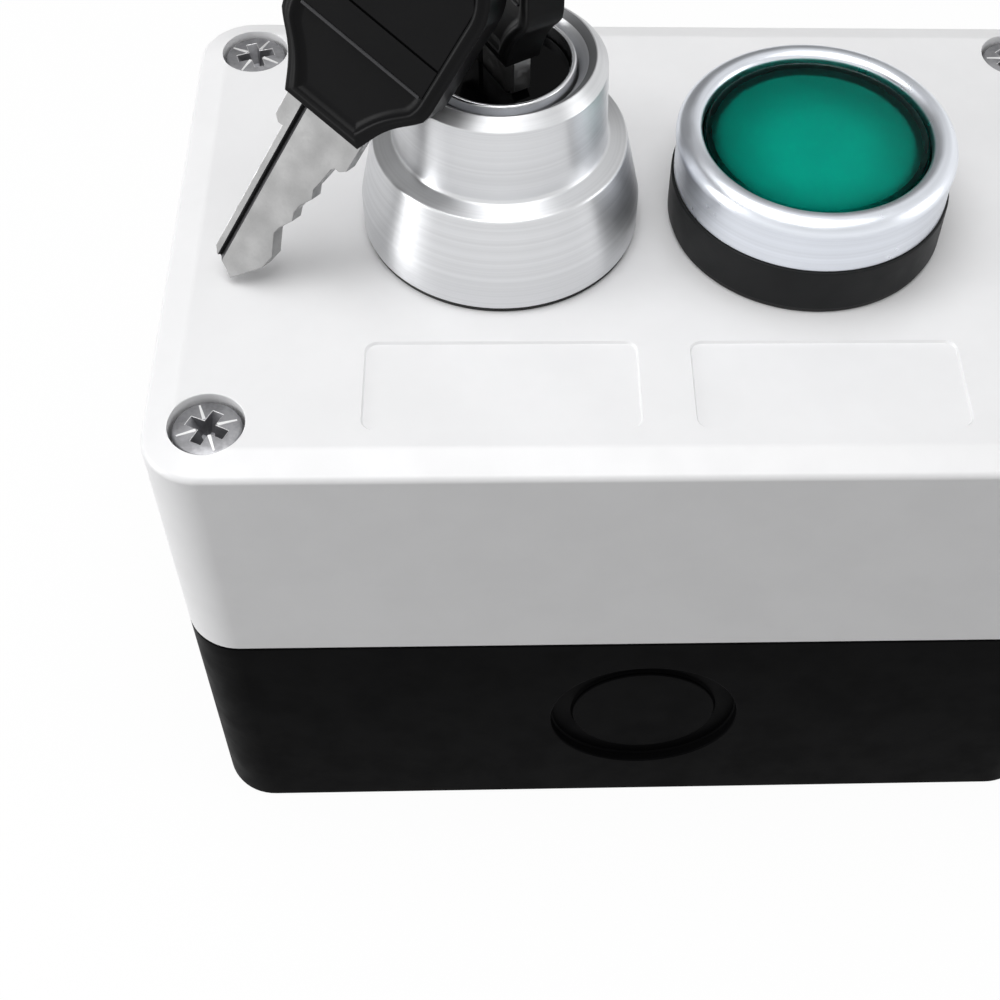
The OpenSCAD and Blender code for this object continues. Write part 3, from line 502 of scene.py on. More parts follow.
class Solid:
    """A closed shape in millimetres, worked on with bmesh operators until it is made a piece."""

    def __init__(self, shape: bmesh.types.BMesh) -> None:
        """Takes over a bmesh."""
        self.shape = shape

    @classmethod
    def block(cls, low: Place, high: Place) -> "Solid":
        """Makes a block between two corners.

        Args:
            low: the corner with the least coordinates.
            high: the corner with the greatest.

        Returns:
            The block.
        """
        shape = bmesh.new()
        bmesh.ops.create_cube(shape, size=1.0)
        size = [b - a for a, b in zip(low, high)]
        middle = [(a + b) * HALF for a, b in zip(low, high)]
        bmesh.ops.scale(shape, vec=size, verts=shape.verts)
        bmesh.ops.translate(shape, vec=middle, verts=shape.verts)
        return cls(shape)

    @classmethod
    def turned(cls, profile: Sequence[Point], axis: Point = ORIGIN, steps: int = 128) -> "Solid":
        """Spins a closed profile round an upright axis.

        Args:
            profile: radius and height of each point of the outline, in order.
            axis: where the axis stands.
            steps: how many steps the turn has.

        Returns:
            The turned solid.
        """
        shape = bmesh.new()
        points = [shape.verts.new((axis[0] + r, axis[1], z)) for r, z in profile]
        rim = [shape.edges.new((points[i - 1], points[i])) for i in range(len(points))
               if profile[i - 1][0] > 0 or profile[i][0] > 0]
        bmesh.ops.spin(shape, geom=points + rim, cent=(*axis, 0.0), axis=UP, angle=FULL_TURN, steps=steps,
                       use_merge=True)
        bmesh.ops.remove_doubles(shape, verts=shape.verts, dist=WELD_MM)
        bmesh.ops.recalc_face_normals(shape, faces=shape.faces)
        return cls(shape)

    @classmethod
    def rod(cls, radius: float, low: float, high: float, axis: Point = ORIGIN, steps: int = 64) -> "Solid":
        """Makes an upright cylinder."""
        return cls.turned([(0, low), (radius, low), (radius, high), (0, high)], axis, steps)

    @classmethod
    def plate(cls, outline: Sequence[Point], low: float, high: float) -> "Solid":
        """Extrudes a flat outline upwards.

        Args:
            outline: the outline's points in order.
            low: height of the bottom.
            high: height of the top.

        Returns:
            The plate.
        """
        shape = bmesh.new()
        face = shape.faces.new([shape.verts.new((x, y, low)) for x, y in outline])
        grown = bmesh.ops.extrude_face_region(shape, geom=[face])["geom"]
        raised = [g for g in grown if isinstance(g, bmesh.types.BMVert)]
        bmesh.ops.translate(shape, vec=(0.0, 0.0, high - low), verts=raised)
        bmesh.ops.recalc_face_normals(shape, faces=shape.faces)
        return cls(shape)

    @classmethod
    def rounded_block(cls, low: Place, high: Place, corner_r: float, steps: int = 14) -> "Solid":
        """Makes a block whose upright edges are rounded."""
        return cls.block(low, high).soften(corner_r, steps, upright)

    def soften(self, radius: float, steps: int = 3, chosen: Optional[Callable] = None,
               sharper_than: float = 20.0, tint: int = -1) -> "Solid":
        """Rounds edges.

        Args:
            radius: how far the rounding reaches.
            steps: how many steps it has.
            chosen: says which edges are rounded; all sharp ones if left out.
            sharper_than: an edge counts as sharp where its faces meet at more than this, in degrees.
            tint: number of the finish that the new faces get; that of their neighbours if left out.

        Returns:
            The same solid.
        """
        limit = math.radians(sharper_than)
        edges = [e for e in self.shape.edges if len(e.link_faces) == 2
                 and (chosen(e) if chosen else True) and e.calc_face_angle(0.0) > limit]
        bmesh.ops.bevel(self.shape, geom=edges, offset=radius, offset_type="OFFSET", segments=steps,
                        profile=0.5, affect="EDGES", clamp_overlap=True, material=tint)
        return self

    def moved(self, by: Place) -> "Solid":
        """Moves the solid."""
        bmesh.ops.translate(self.shape, vec=by, verts=self.shape.verts)
        return self

    def turned_by(self, matrix: Matrix) -> "Solid":
        """Applies a matrix to the solid.

        Args:
            matrix: a turn, a move or a mirroring.

        Returns:
            The same solid.
        """
        bmesh.ops.transform(self.shape, matrix=matrix, verts=self.shape.verts)
        if matrix.determinant() < 0:
            bmesh.ops.recalc_face_normals(self.shape, faces=self.shape.faces)
        return self

    def copied(self) -> "Solid":
        """Gives a copy."""
        return Solid(self.shape.copy())

    def object(self, name: str) -> bpy.types.Object:
        """Makes a Blender object of the solid, which is used up."""
        return linked(name, mesh_of(name, self.shape))

    def combined(self, others: Iterable["Solid"], operation: str) -> "Solid":
        """Cuts other solids away, adds them or keeps what is shared.

        Args:
            others: the other solids, which are used up.
            operation: DIFFERENCE, UNION or INTERSECT.

        Returns:
            The same solid.
        """
        kept = self.object("shape")
        helpers = []
        for other in others:
            helper = other.object("cutter")
            helpers.append(helper)
            step = kept.modifiers.new("combine", "BOOLEAN")
            step.operation, step.object, step.solver = operation, helper, "EXACT"
        bpy.context.view_layer.update()
        graph = bpy.context.evaluated_depsgraph_get()
        mesh = bpy.data.meshes.new_from_object(kept.evaluated_get(graph))
        self.shape = bmesh.new()
        self.shape.from_mesh(mesh)
        for used in (kept, *helpers):
            old = used.data
            bpy.data.objects.remove(used)
            bpy.data.meshes.remove(old)
        bpy.data.meshes.remove(mesh)
        return self

    def cut(self, *others: "Solid") -> "Solid":
        """Cuts other solids away."""
        return self.combined(others, "DIFFERENCE")

    def join(self, *others: "Solid") -> "Solid":
        """Adds other solids."""
        return self.combined(others, "UNION")

    def added(self, *others: "Solid") -> "Solid":
        """Sets other solids beside this one without merging them.

        Args:
            *others: the other solids, which are used up.

        Returns:
            The same solid.
        """
        for other in others:
            mesh = mesh_of("added", other.shape)
            self.shape.from_mesh(mesh)
            bpy.data.meshes.remove(mesh)
        return self

    def tinted(self, index: int, chosen: Optional[Callable] = None) -> "Solid":
        """Gives faces another of the piece's finishes.

        Args:
            index: the finish's number.
            chosen: says from a face's middle which faces get it; all of them if left out.

        Returns:
            The same solid.
        """
        for face in self.shape.faces:
            if chosen is None or chosen(face.calc_center_median()):
                face.material_index = index
        return self

    def piece(self, name: str, body: str, finish: Finish, slot: str, nodes: Sequence[str] = (),
              crease: float = 32.0, more: Sequence[Finish] = ()) -> bpy.types.Object:
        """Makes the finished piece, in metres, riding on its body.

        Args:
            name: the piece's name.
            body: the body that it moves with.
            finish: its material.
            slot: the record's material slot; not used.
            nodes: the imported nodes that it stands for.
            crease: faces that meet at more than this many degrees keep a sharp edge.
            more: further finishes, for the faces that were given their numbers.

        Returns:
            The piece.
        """
        bmesh.ops.remove_doubles(self.shape, verts=self.shape.verts, dist=MERGE_MM)
        bmesh.ops.dissolve_degenerate(self.shape, edges=self.shape.edges, dist=SLIVER_MM)
        bmesh.ops.scale(self.shape, vec=(MM, MM, MM), verts=self.shape.verts)
        made = self.object(name)
        made.data.shade_smooth()
        made.data.set_sharp_from_angle(angle=math.radians(crease))
        weighted = made.modifiers.new("even shading", "WEIGHTED_NORMAL")
        weighted.keep_sharp = True
        for used in (finish, *more):
            made.data.materials.append(used.material())
        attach(made, body)
        if nodes:
            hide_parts(*nodes)
        LOG.info("%s rides on %s, %d faces", name, body, len(made.data.polygons))
        return made


def upright(edge: bmesh.types.BMEdge) -> bool:
    """Says whether an edge runs along Z."""
    a, b = (v.co for v in edge.verts)
    return (a - b).xy.length < LEVEL_MM


def level_at(height: float) -> Callable[[bmesh.types.BMEdge], bool]:
    """Gives a test for edges that lie level at a height."""
    return lambda edge: all(abs(v.co.z - height) < LEVEL_MM for v in edge.verts)


@dataclass
class Enclosure:
    """The white lid and the black base.

    label is a recess's length, width and depth; fixing_pad a pad's radius, its lower end, which lies
    in the floor, and its top.
    """

    length: float = 101.0
    width: float = 68.0
    height: float = LID_TOP
    joint: float = 34.4
    corner_r: float = 6.0
    wall: float = 2.6
    floor: float = 2.8
    edge_inset: float = 3.2
    edge_drop: float = 1.0
    edge_r: float = 0.55
    top_edge_r: float = 0.25
    joint_edge_r: float = 0.3
    foot_r: float = 0.7
    seal_inset: float = 1.2
    seal_depth: float = 1.5
    screw_at: Point = (44.2, 27.7)
    post_r: float = 5.2
    screw_hole_r: float = 2.15
    thread_hole_r: float = 1.95
    thread_depth: float = 14.6
    counterbore_r: float = 3.7
    counterbore_z: float = 61.8
    counterbore_lip: float = 0.12
    head_hole_r: float = HEAD_HOLE_R
    label: Place = (26.8, 11.0, 0.3)
    label_offset: float = 23.75
    label_corner_r: float = 1.2
    label_flare: float = 0.8
    label_foot_r: float = 0.12
    knockout_r: float = 10.8
    knockout_z: float = 18.5
    groove_w: float = 2.5
    groove_depth: float = 1.2
    groove_lip: float = 0.18
    disc_depth: float = 0.7
    fixing: Point = (36.0, 22.0)
    fixing_r: float = 2.25
    fixing_lip: float = 0.3
    fixing_pad: Place = (4.6, 1.0, 4.0)

    def shell(self, low: float, high: float, inset: float = 0.0) -> Solid:
        """Makes a block with the box's rounded plan, inset by some millimetres."""
        x, y = self.length * HALF - inset, self.width * HALF - inset
        return Solid.rounded_block((-x, -y, low), (x, y, high), self.corner_r - inset)

    def corners(self, shape: Solid) -> list[Solid]:
        """Gives a copy of a shape at each of the four lid screws, and uses the shape up.

        Args:
            shape: the shape, round the Z axis.

        Returns:
            The four copies.
        """
        copies = [shape.copied().moved((*place, 0.0)) for place in mirrored(self.screw_at)]
        shape.shape.free()
        return copies

    def fixed(self, profile: Sequence[Point]) -> list[Solid]:
        """Gives a turned shape at each of the four wall fixings."""
        return [Solid.turned(profile, place, 48) for place in mirrored(self.fixing)]

    def lid(self) -> None:
        """Makes the lid: a shell with a soft bevel, four posts, two head holes and two label recesses."""
        body = self.shell(self.joint, self.height)
        shape = body.shape
        top = max(shape.faces, key=lambda f: f.calc_center_median().z)
        bmesh.ops.inset_region(shape, faces=[top], thickness=self.edge_inset, use_even_offset=True)
        inner, top_z = set(top.verts), self.height
        outer = [v for v in shape.verts if v.co.z > top_z - LEVEL_MM and v not in inner]
        bmesh.ops.translate(shape, vec=(0.0, 0.0, -self.edge_drop), verts=outer)
        body.soften(self.top_edge_r, 3, level_at(top_z), sharper_than=10.0)
        body.soften(self.edge_r, 4, level_at(top_z - self.edge_drop), sharper_than=10.0)
        body.soften(self.joint_edge_r, 2, level_at(self.joint))
        under = top_z - self.wall
        body.cut(self.shell(self.joint - OVERRUN, under, self.wall))
        body.join(*self.corners(Solid.rod(self.post_r, self.joint, under + OVERLAP)))
        lip, sunk, hole = self.counterbore_lip, self.counterbore_r, self.screw_hole_r
        low, high = self.joint - OVERRUN, top_z + OVERRUN
        body.cut(*self.corners(Solid.turned(
            [(0, low), (hole, low), (hole, self.counterbore_z), (sunk, self.counterbore_z),
             *arc((sunk + lip, top_z - lip), lip, 180, 90, 4), (sunk + lip, high), (0, high)], steps=72)))
        cutters = []
        for axis in (KEY_AXIS, BUTTON_AXIS):
            hole = Solid.rod(self.head_hole_r, under - OVERRUN, high, axis, 96)
            cutters += [hole, self.label_recess(axis)]
        body.cut(*cutters)
        body.piece("lid_shell", "root", WHITE_ABS, "white_abs", ["lid"])

    def label_recess(self, axis: Point) -> Solid:
        """Makes the cutter for the label recess in front of one head, whose walls lean out a little.

        Args:
            axis: the head's axis.

        Returns:
            The cutter.
        """
        x, y, deep = self.label[0] * HALF, self.label[1] * HALF, self.height - self.label[2]
        middle = axis[1] - self.label_offset
        recess = Solid.rounded_block((axis[0] - x, middle - y, deep),
                                     (axis[0] + x, middle + y, self.height + OVERRUN), self.label_corner_r, 6)
        recess.soften(self.label_foot_r, 2, level_at(deep))
        wide = (1.0 + self.label_flare / x, 1.0 + self.label_flare / y, 1.0)
        bmesh.ops.scale(recess.shape, vec=wide, space=Matrix.Translation((-axis[0], -middle, 0.0)),
                        verts=[v for v in recess.shape.verts if v.co.z > self.height])
        return recess

    def knockout(self) -> Solid:
        """Makes the cutter for one knockout, round the Z axis, with the wall's face at height 0.

        Returns:
            The cutter.
        """
        r, disc_r, lip = self.knockout_r, self.knockout_r - self.groove_w, self.groove_lip
        deep, disc = -self.groove_depth, -self.disc_depth
        return Solid.turned(
            [(0, OVERRUN), (r + lip, OVERRUN), *arc((r + lip, -lip), lip, 90, 180, 3), (r, deep + lip),
             (r - lip, deep), (disc_r + lip, deep), (disc_r, deep + lip), (disc_r, disc - lip),
             *arc((disc_r - lip, disc - lip), lip, 0, 90, 3), (0, disc)], steps=112)

    def base(self) -> None:
        """Makes the base: a tub with posts, pads, fixing holes, the seal's ledge and four knockouts."""
        body, top_z, over = self.shell(0.0, self.joint), self.joint, self.joint + OVERRUN
        body.soften(self.foot_r, 4, level_at(0.0))
        body.soften(self.top_edge_r, 2, level_at(top_z))
        body.cut(self.shell(self.floor, over, self.wall))
        posts = self.corners(Solid.rod(self.post_r, self.floor - OVERRUN, top_z))
        pad_r, pad_low, pad_h = self.fixing_pad
        pads = self.fixed([(0, pad_low), (pad_r, pad_low), (pad_r, pad_h), (0, pad_h)])
        body.join(*posts, *pads)
        ledge = self.shell(top_z - self.seal_depth, over, self.seal_inset)
        ledge.cut(*self.corners(Solid.rod(self.post_r - self.seal_inset, 0, over + OVERRUN)),
                  self.shell(0.0, over + OVERRUN, self.wall))
        holes = self.corners(Solid.rod(self.thread_hole_r, top_z - self.thread_depth, over, steps=48))
        r, lip, through = self.fixing_r, self.fixing_lip, pad_h + 2 * OVERRUN
        fixings = self.fixed([(0, -OVERRUN), (r + lip, -OVERRUN), (r + lip, 0), (r, lip), (r, through),
                              (0, through)])
        knockouts = []
        for turn, reach in ((0, self.width), (2, self.width), (1, self.length), (3, self.length)):
            stand = (Matrix.Rotation(turn * QUARTER_TURN, 4, "Z")
                     @ Matrix.Translation((0.0, -reach * HALF, self.knockout_z))
                     @ Matrix.Rotation(QUARTER_TURN, 4, "X"))
            knockouts.append(self.knockout().turned_by(stand))
        body.cut(ledge, *holes, *fixings, *knockouts)
        body.piece("base_shell", "root", BLACK_ABS, "black_abs", ["base"])


@dataclass
class CrossScrew:
    """A pan-headed lid screw with a cross recess, raised marks between its wings and a thread; the marks and
    the recess's edges are painted near white as painted glints.
    """

    head_r: float = 3.4
    head_h: float = 2.6
    foot_edge: float = 0.25
    rim_round: float = 0.4
    dome: float = 0.12
    dome_half_way: float = 0.02
    shank_r: float = 1.95
    shank_l: float = 41.0
    thread_l: float = 13.0
    pitch: float = 1.4
    thread_depth: float = 0.42
    tooth_share: float = 0.62
    tooth_root: float = 0.15
    plain_turns: int = 2
    per_turn: int = 24
    tip_share: float = 0.45
    overlap: float = 0.2
    wing_l: float = 2.4
    wing_w: float = 1.3
    wing_depth: float = 2.0
    wing_taper: Place = (0.4, 0.55, 1.0)
    core: tuple = ((0.35, 1.85), (1.05, -OVERLAP))
    core_tip: float = 1.9
    recess_edge: float = 0.11
    near: Point = (0.1, 0.15)
    mark_from: float = 1.05
    mark_to: float = 2.95
    mark_w: float = 0.55
    mark_h: float = 0.06
    mark_depth: float = 0.4
    mark_taper: Place = (1.0, 0.6, 1.0)
    headings: tuple = (-26.0, 18.0, -8.0, 40.0)

    def head(self) -> Solid:
        """Makes the head with its recess: two tapering wings that cross over a deep core.

        Returns:
            The head, with its underside at height 0.
        """
        r, h = self.head_r, self.head_h
        rim = arc((r - self.rim_round, h - self.rim_round - self.dome), self.rim_round, 0, 80, 5)
        head = Solid.turned([(0, 0), (r - self.foot_edge, 0), (r, self.foot_edge), *rim,
                             (r * HALF, h - self.dome_half_way), (0, h)], steps=72)
        wings = []
        for turn in range(2):
            wing = Solid.block((-self.wing_l, -self.wing_w * HALF, h - self.wing_depth),
                               (self.wing_l, self.wing_w * HALF, h + OVERLAP))
            deep = [v for v in wing.shape.verts if v.co.z < h]
            bmesh.ops.scale(wing.shape, vec=self.wing_taper, verts=deep)
            wings.append(wing.turned_by(Matrix.Rotation(turn * QUARTER_TURN, 4, "Z")))
        core = Solid.turned([(0, h - self.core_tip), *((wide, h - down) for wide, down in self.core),
                             (0, h + OVERLAP)], steps=20)
        return head.cut(core, *wings)

    def mark(self, turn: int) -> Solid:
        """Makes one mark: a low ridge that narrows towards the head's rim.

        Args:
            turn: how many quarter turns round it stands.

        Returns:
            The ridge.
        """
        h, wide, narrow = self.head_h, self.mark_w * HALF, self.mark_w * HALF * HALF
        ridge = Solid.plate([(self.mark_from, -wide), (self.mark_to, -narrow), (self.mark_to, narrow),
                             (self.mark_from, wide)], h - self.mark_depth, h + self.mark_h)
        top = [v for v in ridge.shape.verts if v.co.z > h]
        bmesh.ops.scale(ridge.shape, vec=self.mark_taper, verts=top)
        far = [v for v in top if v.co.x > (self.mark_from + self.mark_to) * HALF]
        bmesh.ops.translate(ridge.shape, vec=(0.0, 0.0, -self.dome), verts=far)
        return ridge.turned_by(Matrix.Rotation((turn + HALF) * QUARTER_TURN, 4, "Z"))

    def shank(self) -> Solid:
        """Makes the shank with its thread: a ridge wound up the lower part.

        Returns:
            The shank, which hangs down from height 0.
        """
        tip, r, core_r = -self.shank_l, self.shank_r, self.shank_r - self.thread_depth
        start, thread_top = tip + self.pitch, tip + self.thread_l
        shank = Solid.turned([(0, tip), (core_r * self.tip_share, tip), (core_r, start), (core_r, thread_top),
                              (r, thread_top + self.thread_depth), (r, self.overlap), (0, self.overlap)],
                             steps=40)
        ridge = bmesh.new()
        root = core_r - self.tooth_root
        tooth = [(root, 0.0), (r, HALF), (root, 1.0)]
        face = ridge.faces.new([ridge.verts.new((x, 0.0, start + z * self.pitch * self.tooth_share))
                                for x, z in tooth])
        turns = int(self.thread_l / self.pitch) - self.plain_turns
        rise = (0.0, 0.0, self.pitch / self.per_turn)
        bmesh.ops.spin(ridge, geom=[face, *face.edges, *face.verts], cent=(*ORIGIN, 0.0), axis=UP, dvec=rise,
                       angle=FULL_TURN * turns, steps=self.per_turn * turns)
        bmesh.ops.recalc_face_normals(ridge, faces=ridge.faces)
        return shank.join(Solid(ridge))

    def build(self, box: Enclosure) -> None:
        """Puts one screw at each corner of the lid, each turned a little differently.

        Args:
            box: the enclosure, which says where the screws stand.
        """
        whole = self.head().join(self.shank())
        # The recess's rounded edges and the marks get finish 1, the zinc painted near white as painted glints
        near_top, near_wings = self.head_h - self.near[1], self.wing_l + self.near[0]
        whole.soften(self.recess_edge, 1, lambda e: all(
            v.co.z > near_top and v.co.xy.length < near_wings for v in e.verts), tint=1)
        whole.added(*(self.mark(turn).tinted(1) for turn in range(4)))
        screws = Solid(bmesh.new())
        for place, heading in zip(mirrored(box.screw_at), self.headings):
            stand = Matrix.Translation((*place, box.counterbore_z)) @ about_z(heading)
            screws.added(whole.copied().turned_by(stand))
        whole.shape.free()
        screws.piece("lid_screws_cross", "root", ZINC, "zinc_steel", ["lid_screws"], crease=24.0,
                     more=[ZINC_PAINTED_GLINT])


def gasket(head: str, rim_r: float, axis: Point) -> None:
    """Makes the thin rubber ring under a head.

    Args:
        head: what its names start with.
        rim_r: radius of its rim.
        axis: the head's axis.
    """
    hole_r, low, top = HEAD_HOLE_R, LID_TOP, LID_TOP + GASKET_T
    ring = Solid.turned([(hole_r, low), (rim_r, low), (rim_r, top), (hole_r, top)], axis, 120)
    ring.soften(GASKET_EDGE_R, 2)
    ring.piece(f"{head}_gasket_ring", "root", RUBBER, "rubber", [f"{head}_gasket"], crease=60.0)


@dataclass
class KeySwitch:
    """The two-tier collar, the sleeve, the plug's face and the gasket of the key switch.

    Names with _h give heights above the lid. rim_edge and tier_fillet are steps outwards and upwards
    from the rim of the lower tier and from the foot of the upper one.
    """

    gasket_r: float = 14.13
    tube_r: float = 11.0
    foot_r: float = 14.33
    foot_edge: float = 0.2
    band_h: float = 3.9
    rim_r: float = 12.73
    rim_h: float = 11.44
    rim_edge: tuple = ((0.15, -0.2), (0.03, -0.04), (-0.1, 0.0))
    ledge_fall: float = 0.36
    tier_r: float = 10.75
    tier_fillet: tuple = ((0.45, 0.0), (0.15, 0.12), (0.0, 0.5))
    edge_r: float = 0.1
    shoulder_r: float = 10.56
    shoulder_h: float = 20.0
    top_r: float = 9.4
    top_h: float = 21.1
    lip_r: float = 8.6
    lip_h: float = 20.5
    shaded_bevel_margin: Point = (0.06, 0.04)
    hole_r: float = 7.7
    hole_h: float = 19.3
    shelf_h: float = 12.64
    web_h: float = 10.04
    sleeve_r: float = 8.4
    play: float = 0.1
    sleeve_bore_r: float = 6.95
    sleeve_tip_r: float = 7.48
    sleeve_foot: float = 62.54
    sleeve_top_h: float = 20.6
    plug_r: float = 6.85
    face_h: float = 19.0
    cap_t: float = 1.4
    cap_round: float = 0.2
    keyway: Point = (6.8, 2.2)
    keyway_edge: float = 0.12

    def collar(self) -> None:
        """Turns the collar, with fine chamfers at its rims and a fillet at the foot of the upper tier."""
        edge, bore_r = self.rim_h - self.ledge_fall, self.sleeve_r + self.play
        profile = [
            (self.tube_r, GASKET_T), (self.foot_r - self.foot_edge, GASKET_T),
            (self.foot_r, GASKET_T + self.foot_edge), (self.foot_r, self.band_h),
            *((self.rim_r + out, edge + up) for out, up in self.rim_edge),
            *((self.tier_r + out, self.rim_h + up) for out, up in self.tier_fillet),
            (self.shoulder_r, self.shoulder_h), (self.top_r, self.top_h), (self.lip_r, self.lip_h),
            (self.hole_r, self.hole_h), (self.hole_r, self.shelf_h), (bore_r, self.shelf_h),
            (bore_r, self.web_h), (self.tube_r, self.web_h)]
        collar = Solid.turned([(r, LID_TOP + h) for r, h in profile], KEY_AXIS, 160)
        collar.soften(self.edge_r, 2, sharper_than=12.0)
        # The inner bevel's faces get finish 1, the aluminium painted darker as painted shade
        axis, (margin, below) = Vector(KEY_AXIS), self.shaded_bevel_margin
        lip_z, top_z = LID_TOP + self.lip_h, LID_TOP + self.top_h
        collar.tinted(1, lambda m: self.lip_r < (m.xy - axis).length < self.top_r - margin
                      and lip_z < m.z < top_z - below)
        collar.piece("key_collar_turned", "root", TURNED_ALUMINIUM, "satin_aluminium", ["key_collar"],
                     crease=60.0, more=[ALUMINIUM_PAINTED_SHADE])

    def sleeve(self) -> None:
        """Turns the chrome sleeve that shows as a bright ring round the plug."""
        top, shelf = LID_TOP + self.sleeve_top_h, LID_TOP + self.shelf_h - self.play
        bore_r, r, tip_r, foot = self.sleeve_bore_r, self.sleeve_r, self.sleeve_tip_r, self.sleeve_foot
        round_r = (tip_r - bore_r) * HALF
        ring = arc((bore_r + round_r, top - round_r), round_r, 0, 180, 6)
        profile = [(bore_r, foot), (r, foot), (r, shelf), (tip_r, shelf), *ring]
        Solid.turned(profile, KEY_AXIS, 144).piece(
            "lock_sleeve_ring", "root", CHROME_BRIGHT, "chrome_ring", ["lock_sleeve"])

    def face(self) -> None:
        """Makes the plug's polished black cap with its keyway."""
        top, r, soft = LID_TOP + self.face_h, self.plug_r, self.cap_round
        under = top - self.cap_t
        cap = Solid.turned([(0, under), (r, under), (r, top - soft),
                            *arc((r - soft, top - soft), soft, 20, 90, 3), (0, top)], steps=112)
        x, y = self.keyway[0] * HALF, self.keyway[1] * HALF
        slot = Solid.block((-x, -y, top - 2 * self.cap_t), (x, y, top + OVERRUN))
        on_top = level_at(top)
        cap.cut(slot).soften(self.keyway_edge, 2, lambda e: on_top(e) and all(
            abs(v.co.x) < x + LEVEL_MM for v in e.verts))
        cap.turned_by(Matrix.Translation((*KEY_AXIS, 0.0)) @ about_z(KEY_HEADING)).piece(
            "lock_face_polished", "lock_rotor", BLACK_GLOSS, "black_gloss", ["lock_face_cap"])

    def build(self) -> None:
        """Builds everything of the switch but the keys."""
        self.collar()
        self.sleeve()
        self.face()
        gasket("key", self.gasket_r, KEY_AXIS)


@dataclass
class Key:
    """A flat key with a cut edge and a moulded head; its shoulder is at height 0, its width along X."""

    blade_w: float = 6.4
    blade_t: float = 1.8
    blade_l: float = 18.4
    neck_w: float = 8.6
    neck_h: float = 3.9
    waist_share: float = 0.11
    waist_steps: int = 12
    shoulder_cut: float = 0.6
    blade_edge: float = 0.09
    tang_l: float = 9.0
    head_w: float = 16.8
    corner_h: float = 10.5
    side_h: float = 22.9
    top_h: float = 27.4
    crown_w: float = 10.42
    head_t: float = 4.2
    side_round: float = 1.5
    bead_insets: tuple = ((0.5, 0.0), (0.35, 0.22), (0.35, 0.0), (0.3, -0.35), (0.45, -0.22))
    bead_round: float = 0.16
    rim_w: float = 1.3
    grip_gap: float = 0.1
    grip_bend: float = 0.5
    grip_drop: float = 0.12
    grip_groove: float = 0.25
    step_h: float = 12.4
    groove_h: float = 15.6
    rib_w: float = 0.3
    rib_h: float = 0.12
    rib_gap: float = 0.25
    rib_round: float = 0.07
    hole_r: float = 2.2
    hole_lip: float = 0.35
    hole_foot: float = 0.1
    hole_slope: float = 0.3
    hole_h: float = 22.5
    groove_shares: tuple = (-0.385, -0.355, -0.15)
    groove_slope: float = 0.1
    groove_lip: float = 0.06
    groove_run: float = 0.34
    groove_depth_share: float = 0.24
    ramp_depth_share: float = 0.08
    tip_shares: tuple = ((-0.5, 0.88), (-0.42, 0.92), (-0.12, 0.98), (-0.05, 1.0))
    cut_shares: tuple = ((0.31, 0.8), (0.36, 0.7), (0.2, 0.565), (0.23, 0.515), (0.35, 0.43), (0.305, 0.375),
                         (0.33, 0.32), (0.44, 0.24), (0.385, 0.185), (0.42, 0.12), (0.46, 0.02))

    def blade_outline(self) -> list[Point]:
        """Gives the outline of the metal, from the tang round the tip and back.

        Returns:
            The outline's points in order.
        """
        tang, neck, cut = self.blade_w * HALF, self.neck_w * HALF, self.shoulder_cut
        foot, top = self.neck_h, self.neck_h + self.tang_l
        ends = [(self.blade_w * x, -self.blade_l * y) for x, y in (*self.tip_shares, *self.cut_shares)]
        return [(-tang, top), (-tang, foot), (-neck, foot), (-neck, cut), (cut - neck, 0), (-tang, 0), *ends,
                (tang, 0), (neck - cut, 0), (neck, cut), (neck, foot), (tang, foot), (tang, top)]

    def blade(self) -> Solid:
        """Makes the blade lying flat, with its deep groove, whose walls and bottom are painted dark as
        painted shade, and the shallower milling beside it.

        Returns:
            The blade.
        """
        t, w = self.blade_t, self.blade_w
        blade = Solid.plate(self.blade_outline(), -t * HALF, t * HALF)
        blade.soften(self.blade_edge, 2, lambda e: not upright(e))
        left, middle, right = (w * share for share in self.groove_shares)
        deep, slope, run = t * (HALF - self.groove_depth_share), self.groove_slope, self.groove_run
        shallow = t * (HALF - self.ramp_depth_share)
        groove = Solid.plate([(left - slope, t * HALF), (left, deep), (middle, deep), (middle + run, shallow),
                              (right, shallow), (right + self.groove_lip, t), (left - slope, t)],
                             0, self.neck_h + self.blade_l + OVERRUN)
        groove.turned_by(Matrix.Translation((0.0, self.neck_h, 0.0)) @ Matrix.Rotation(QUARTER_TURN, 4, "X"))
        blade.cut(groove)
        # The groove's walls and bottom get the key metal painted darker as painted shade
        blade.tinted(2, lambda m: left - slope < m.x < middle + run
                     and deep - TOUCH_MM < m.z < shallow - TOUCH_MM * HALF)
        return blade.tinted(1, lambda m: left < m.x < middle and abs(m.z - deep) < TOUCH_MM)

    def head_outline(self) -> list[Point]:
        """Gives the outline of the moulded head.

        Returns:
            The outline's points in order.
        """
        neck, side, crown = self.neck_w * HALF, self.head_w * HALF, self.crown_w * HALF
        right = [(neck, self.neck_h), (side, self.corner_h), (side, self.side_h), (crown, self.top_h)]
        return [*right, *((-x, y) for x, y in reversed(right))]

    def waist(self, shape: bmesh.types.BMesh) -> None:
        """Pulls the head's lower sides in, so that they run in a hollow curve from the neck to the corner.

        Args:
            shape: the head, lying flat.
        """
        rise = self.corner_h - self.neck_h
        for i in range(1, self.waist_steps):
            parts = [*shape.verts, *shape.edges, *shape.faces]
            level = self.neck_h + rise * i / self.waist_steps
            bmesh.ops.bisect_plane(shape, geom=parts, plane_co=(0.0, level, 0.0), plane_no=(0.0, 1.0, 0.0))
        for vert in shape.verts:
            share = min(1.0, (vert.co.y - self.neck_h) / rise)
            vert.co.x *= 1.0 - self.waist_share * math.sin(math.pi * share)

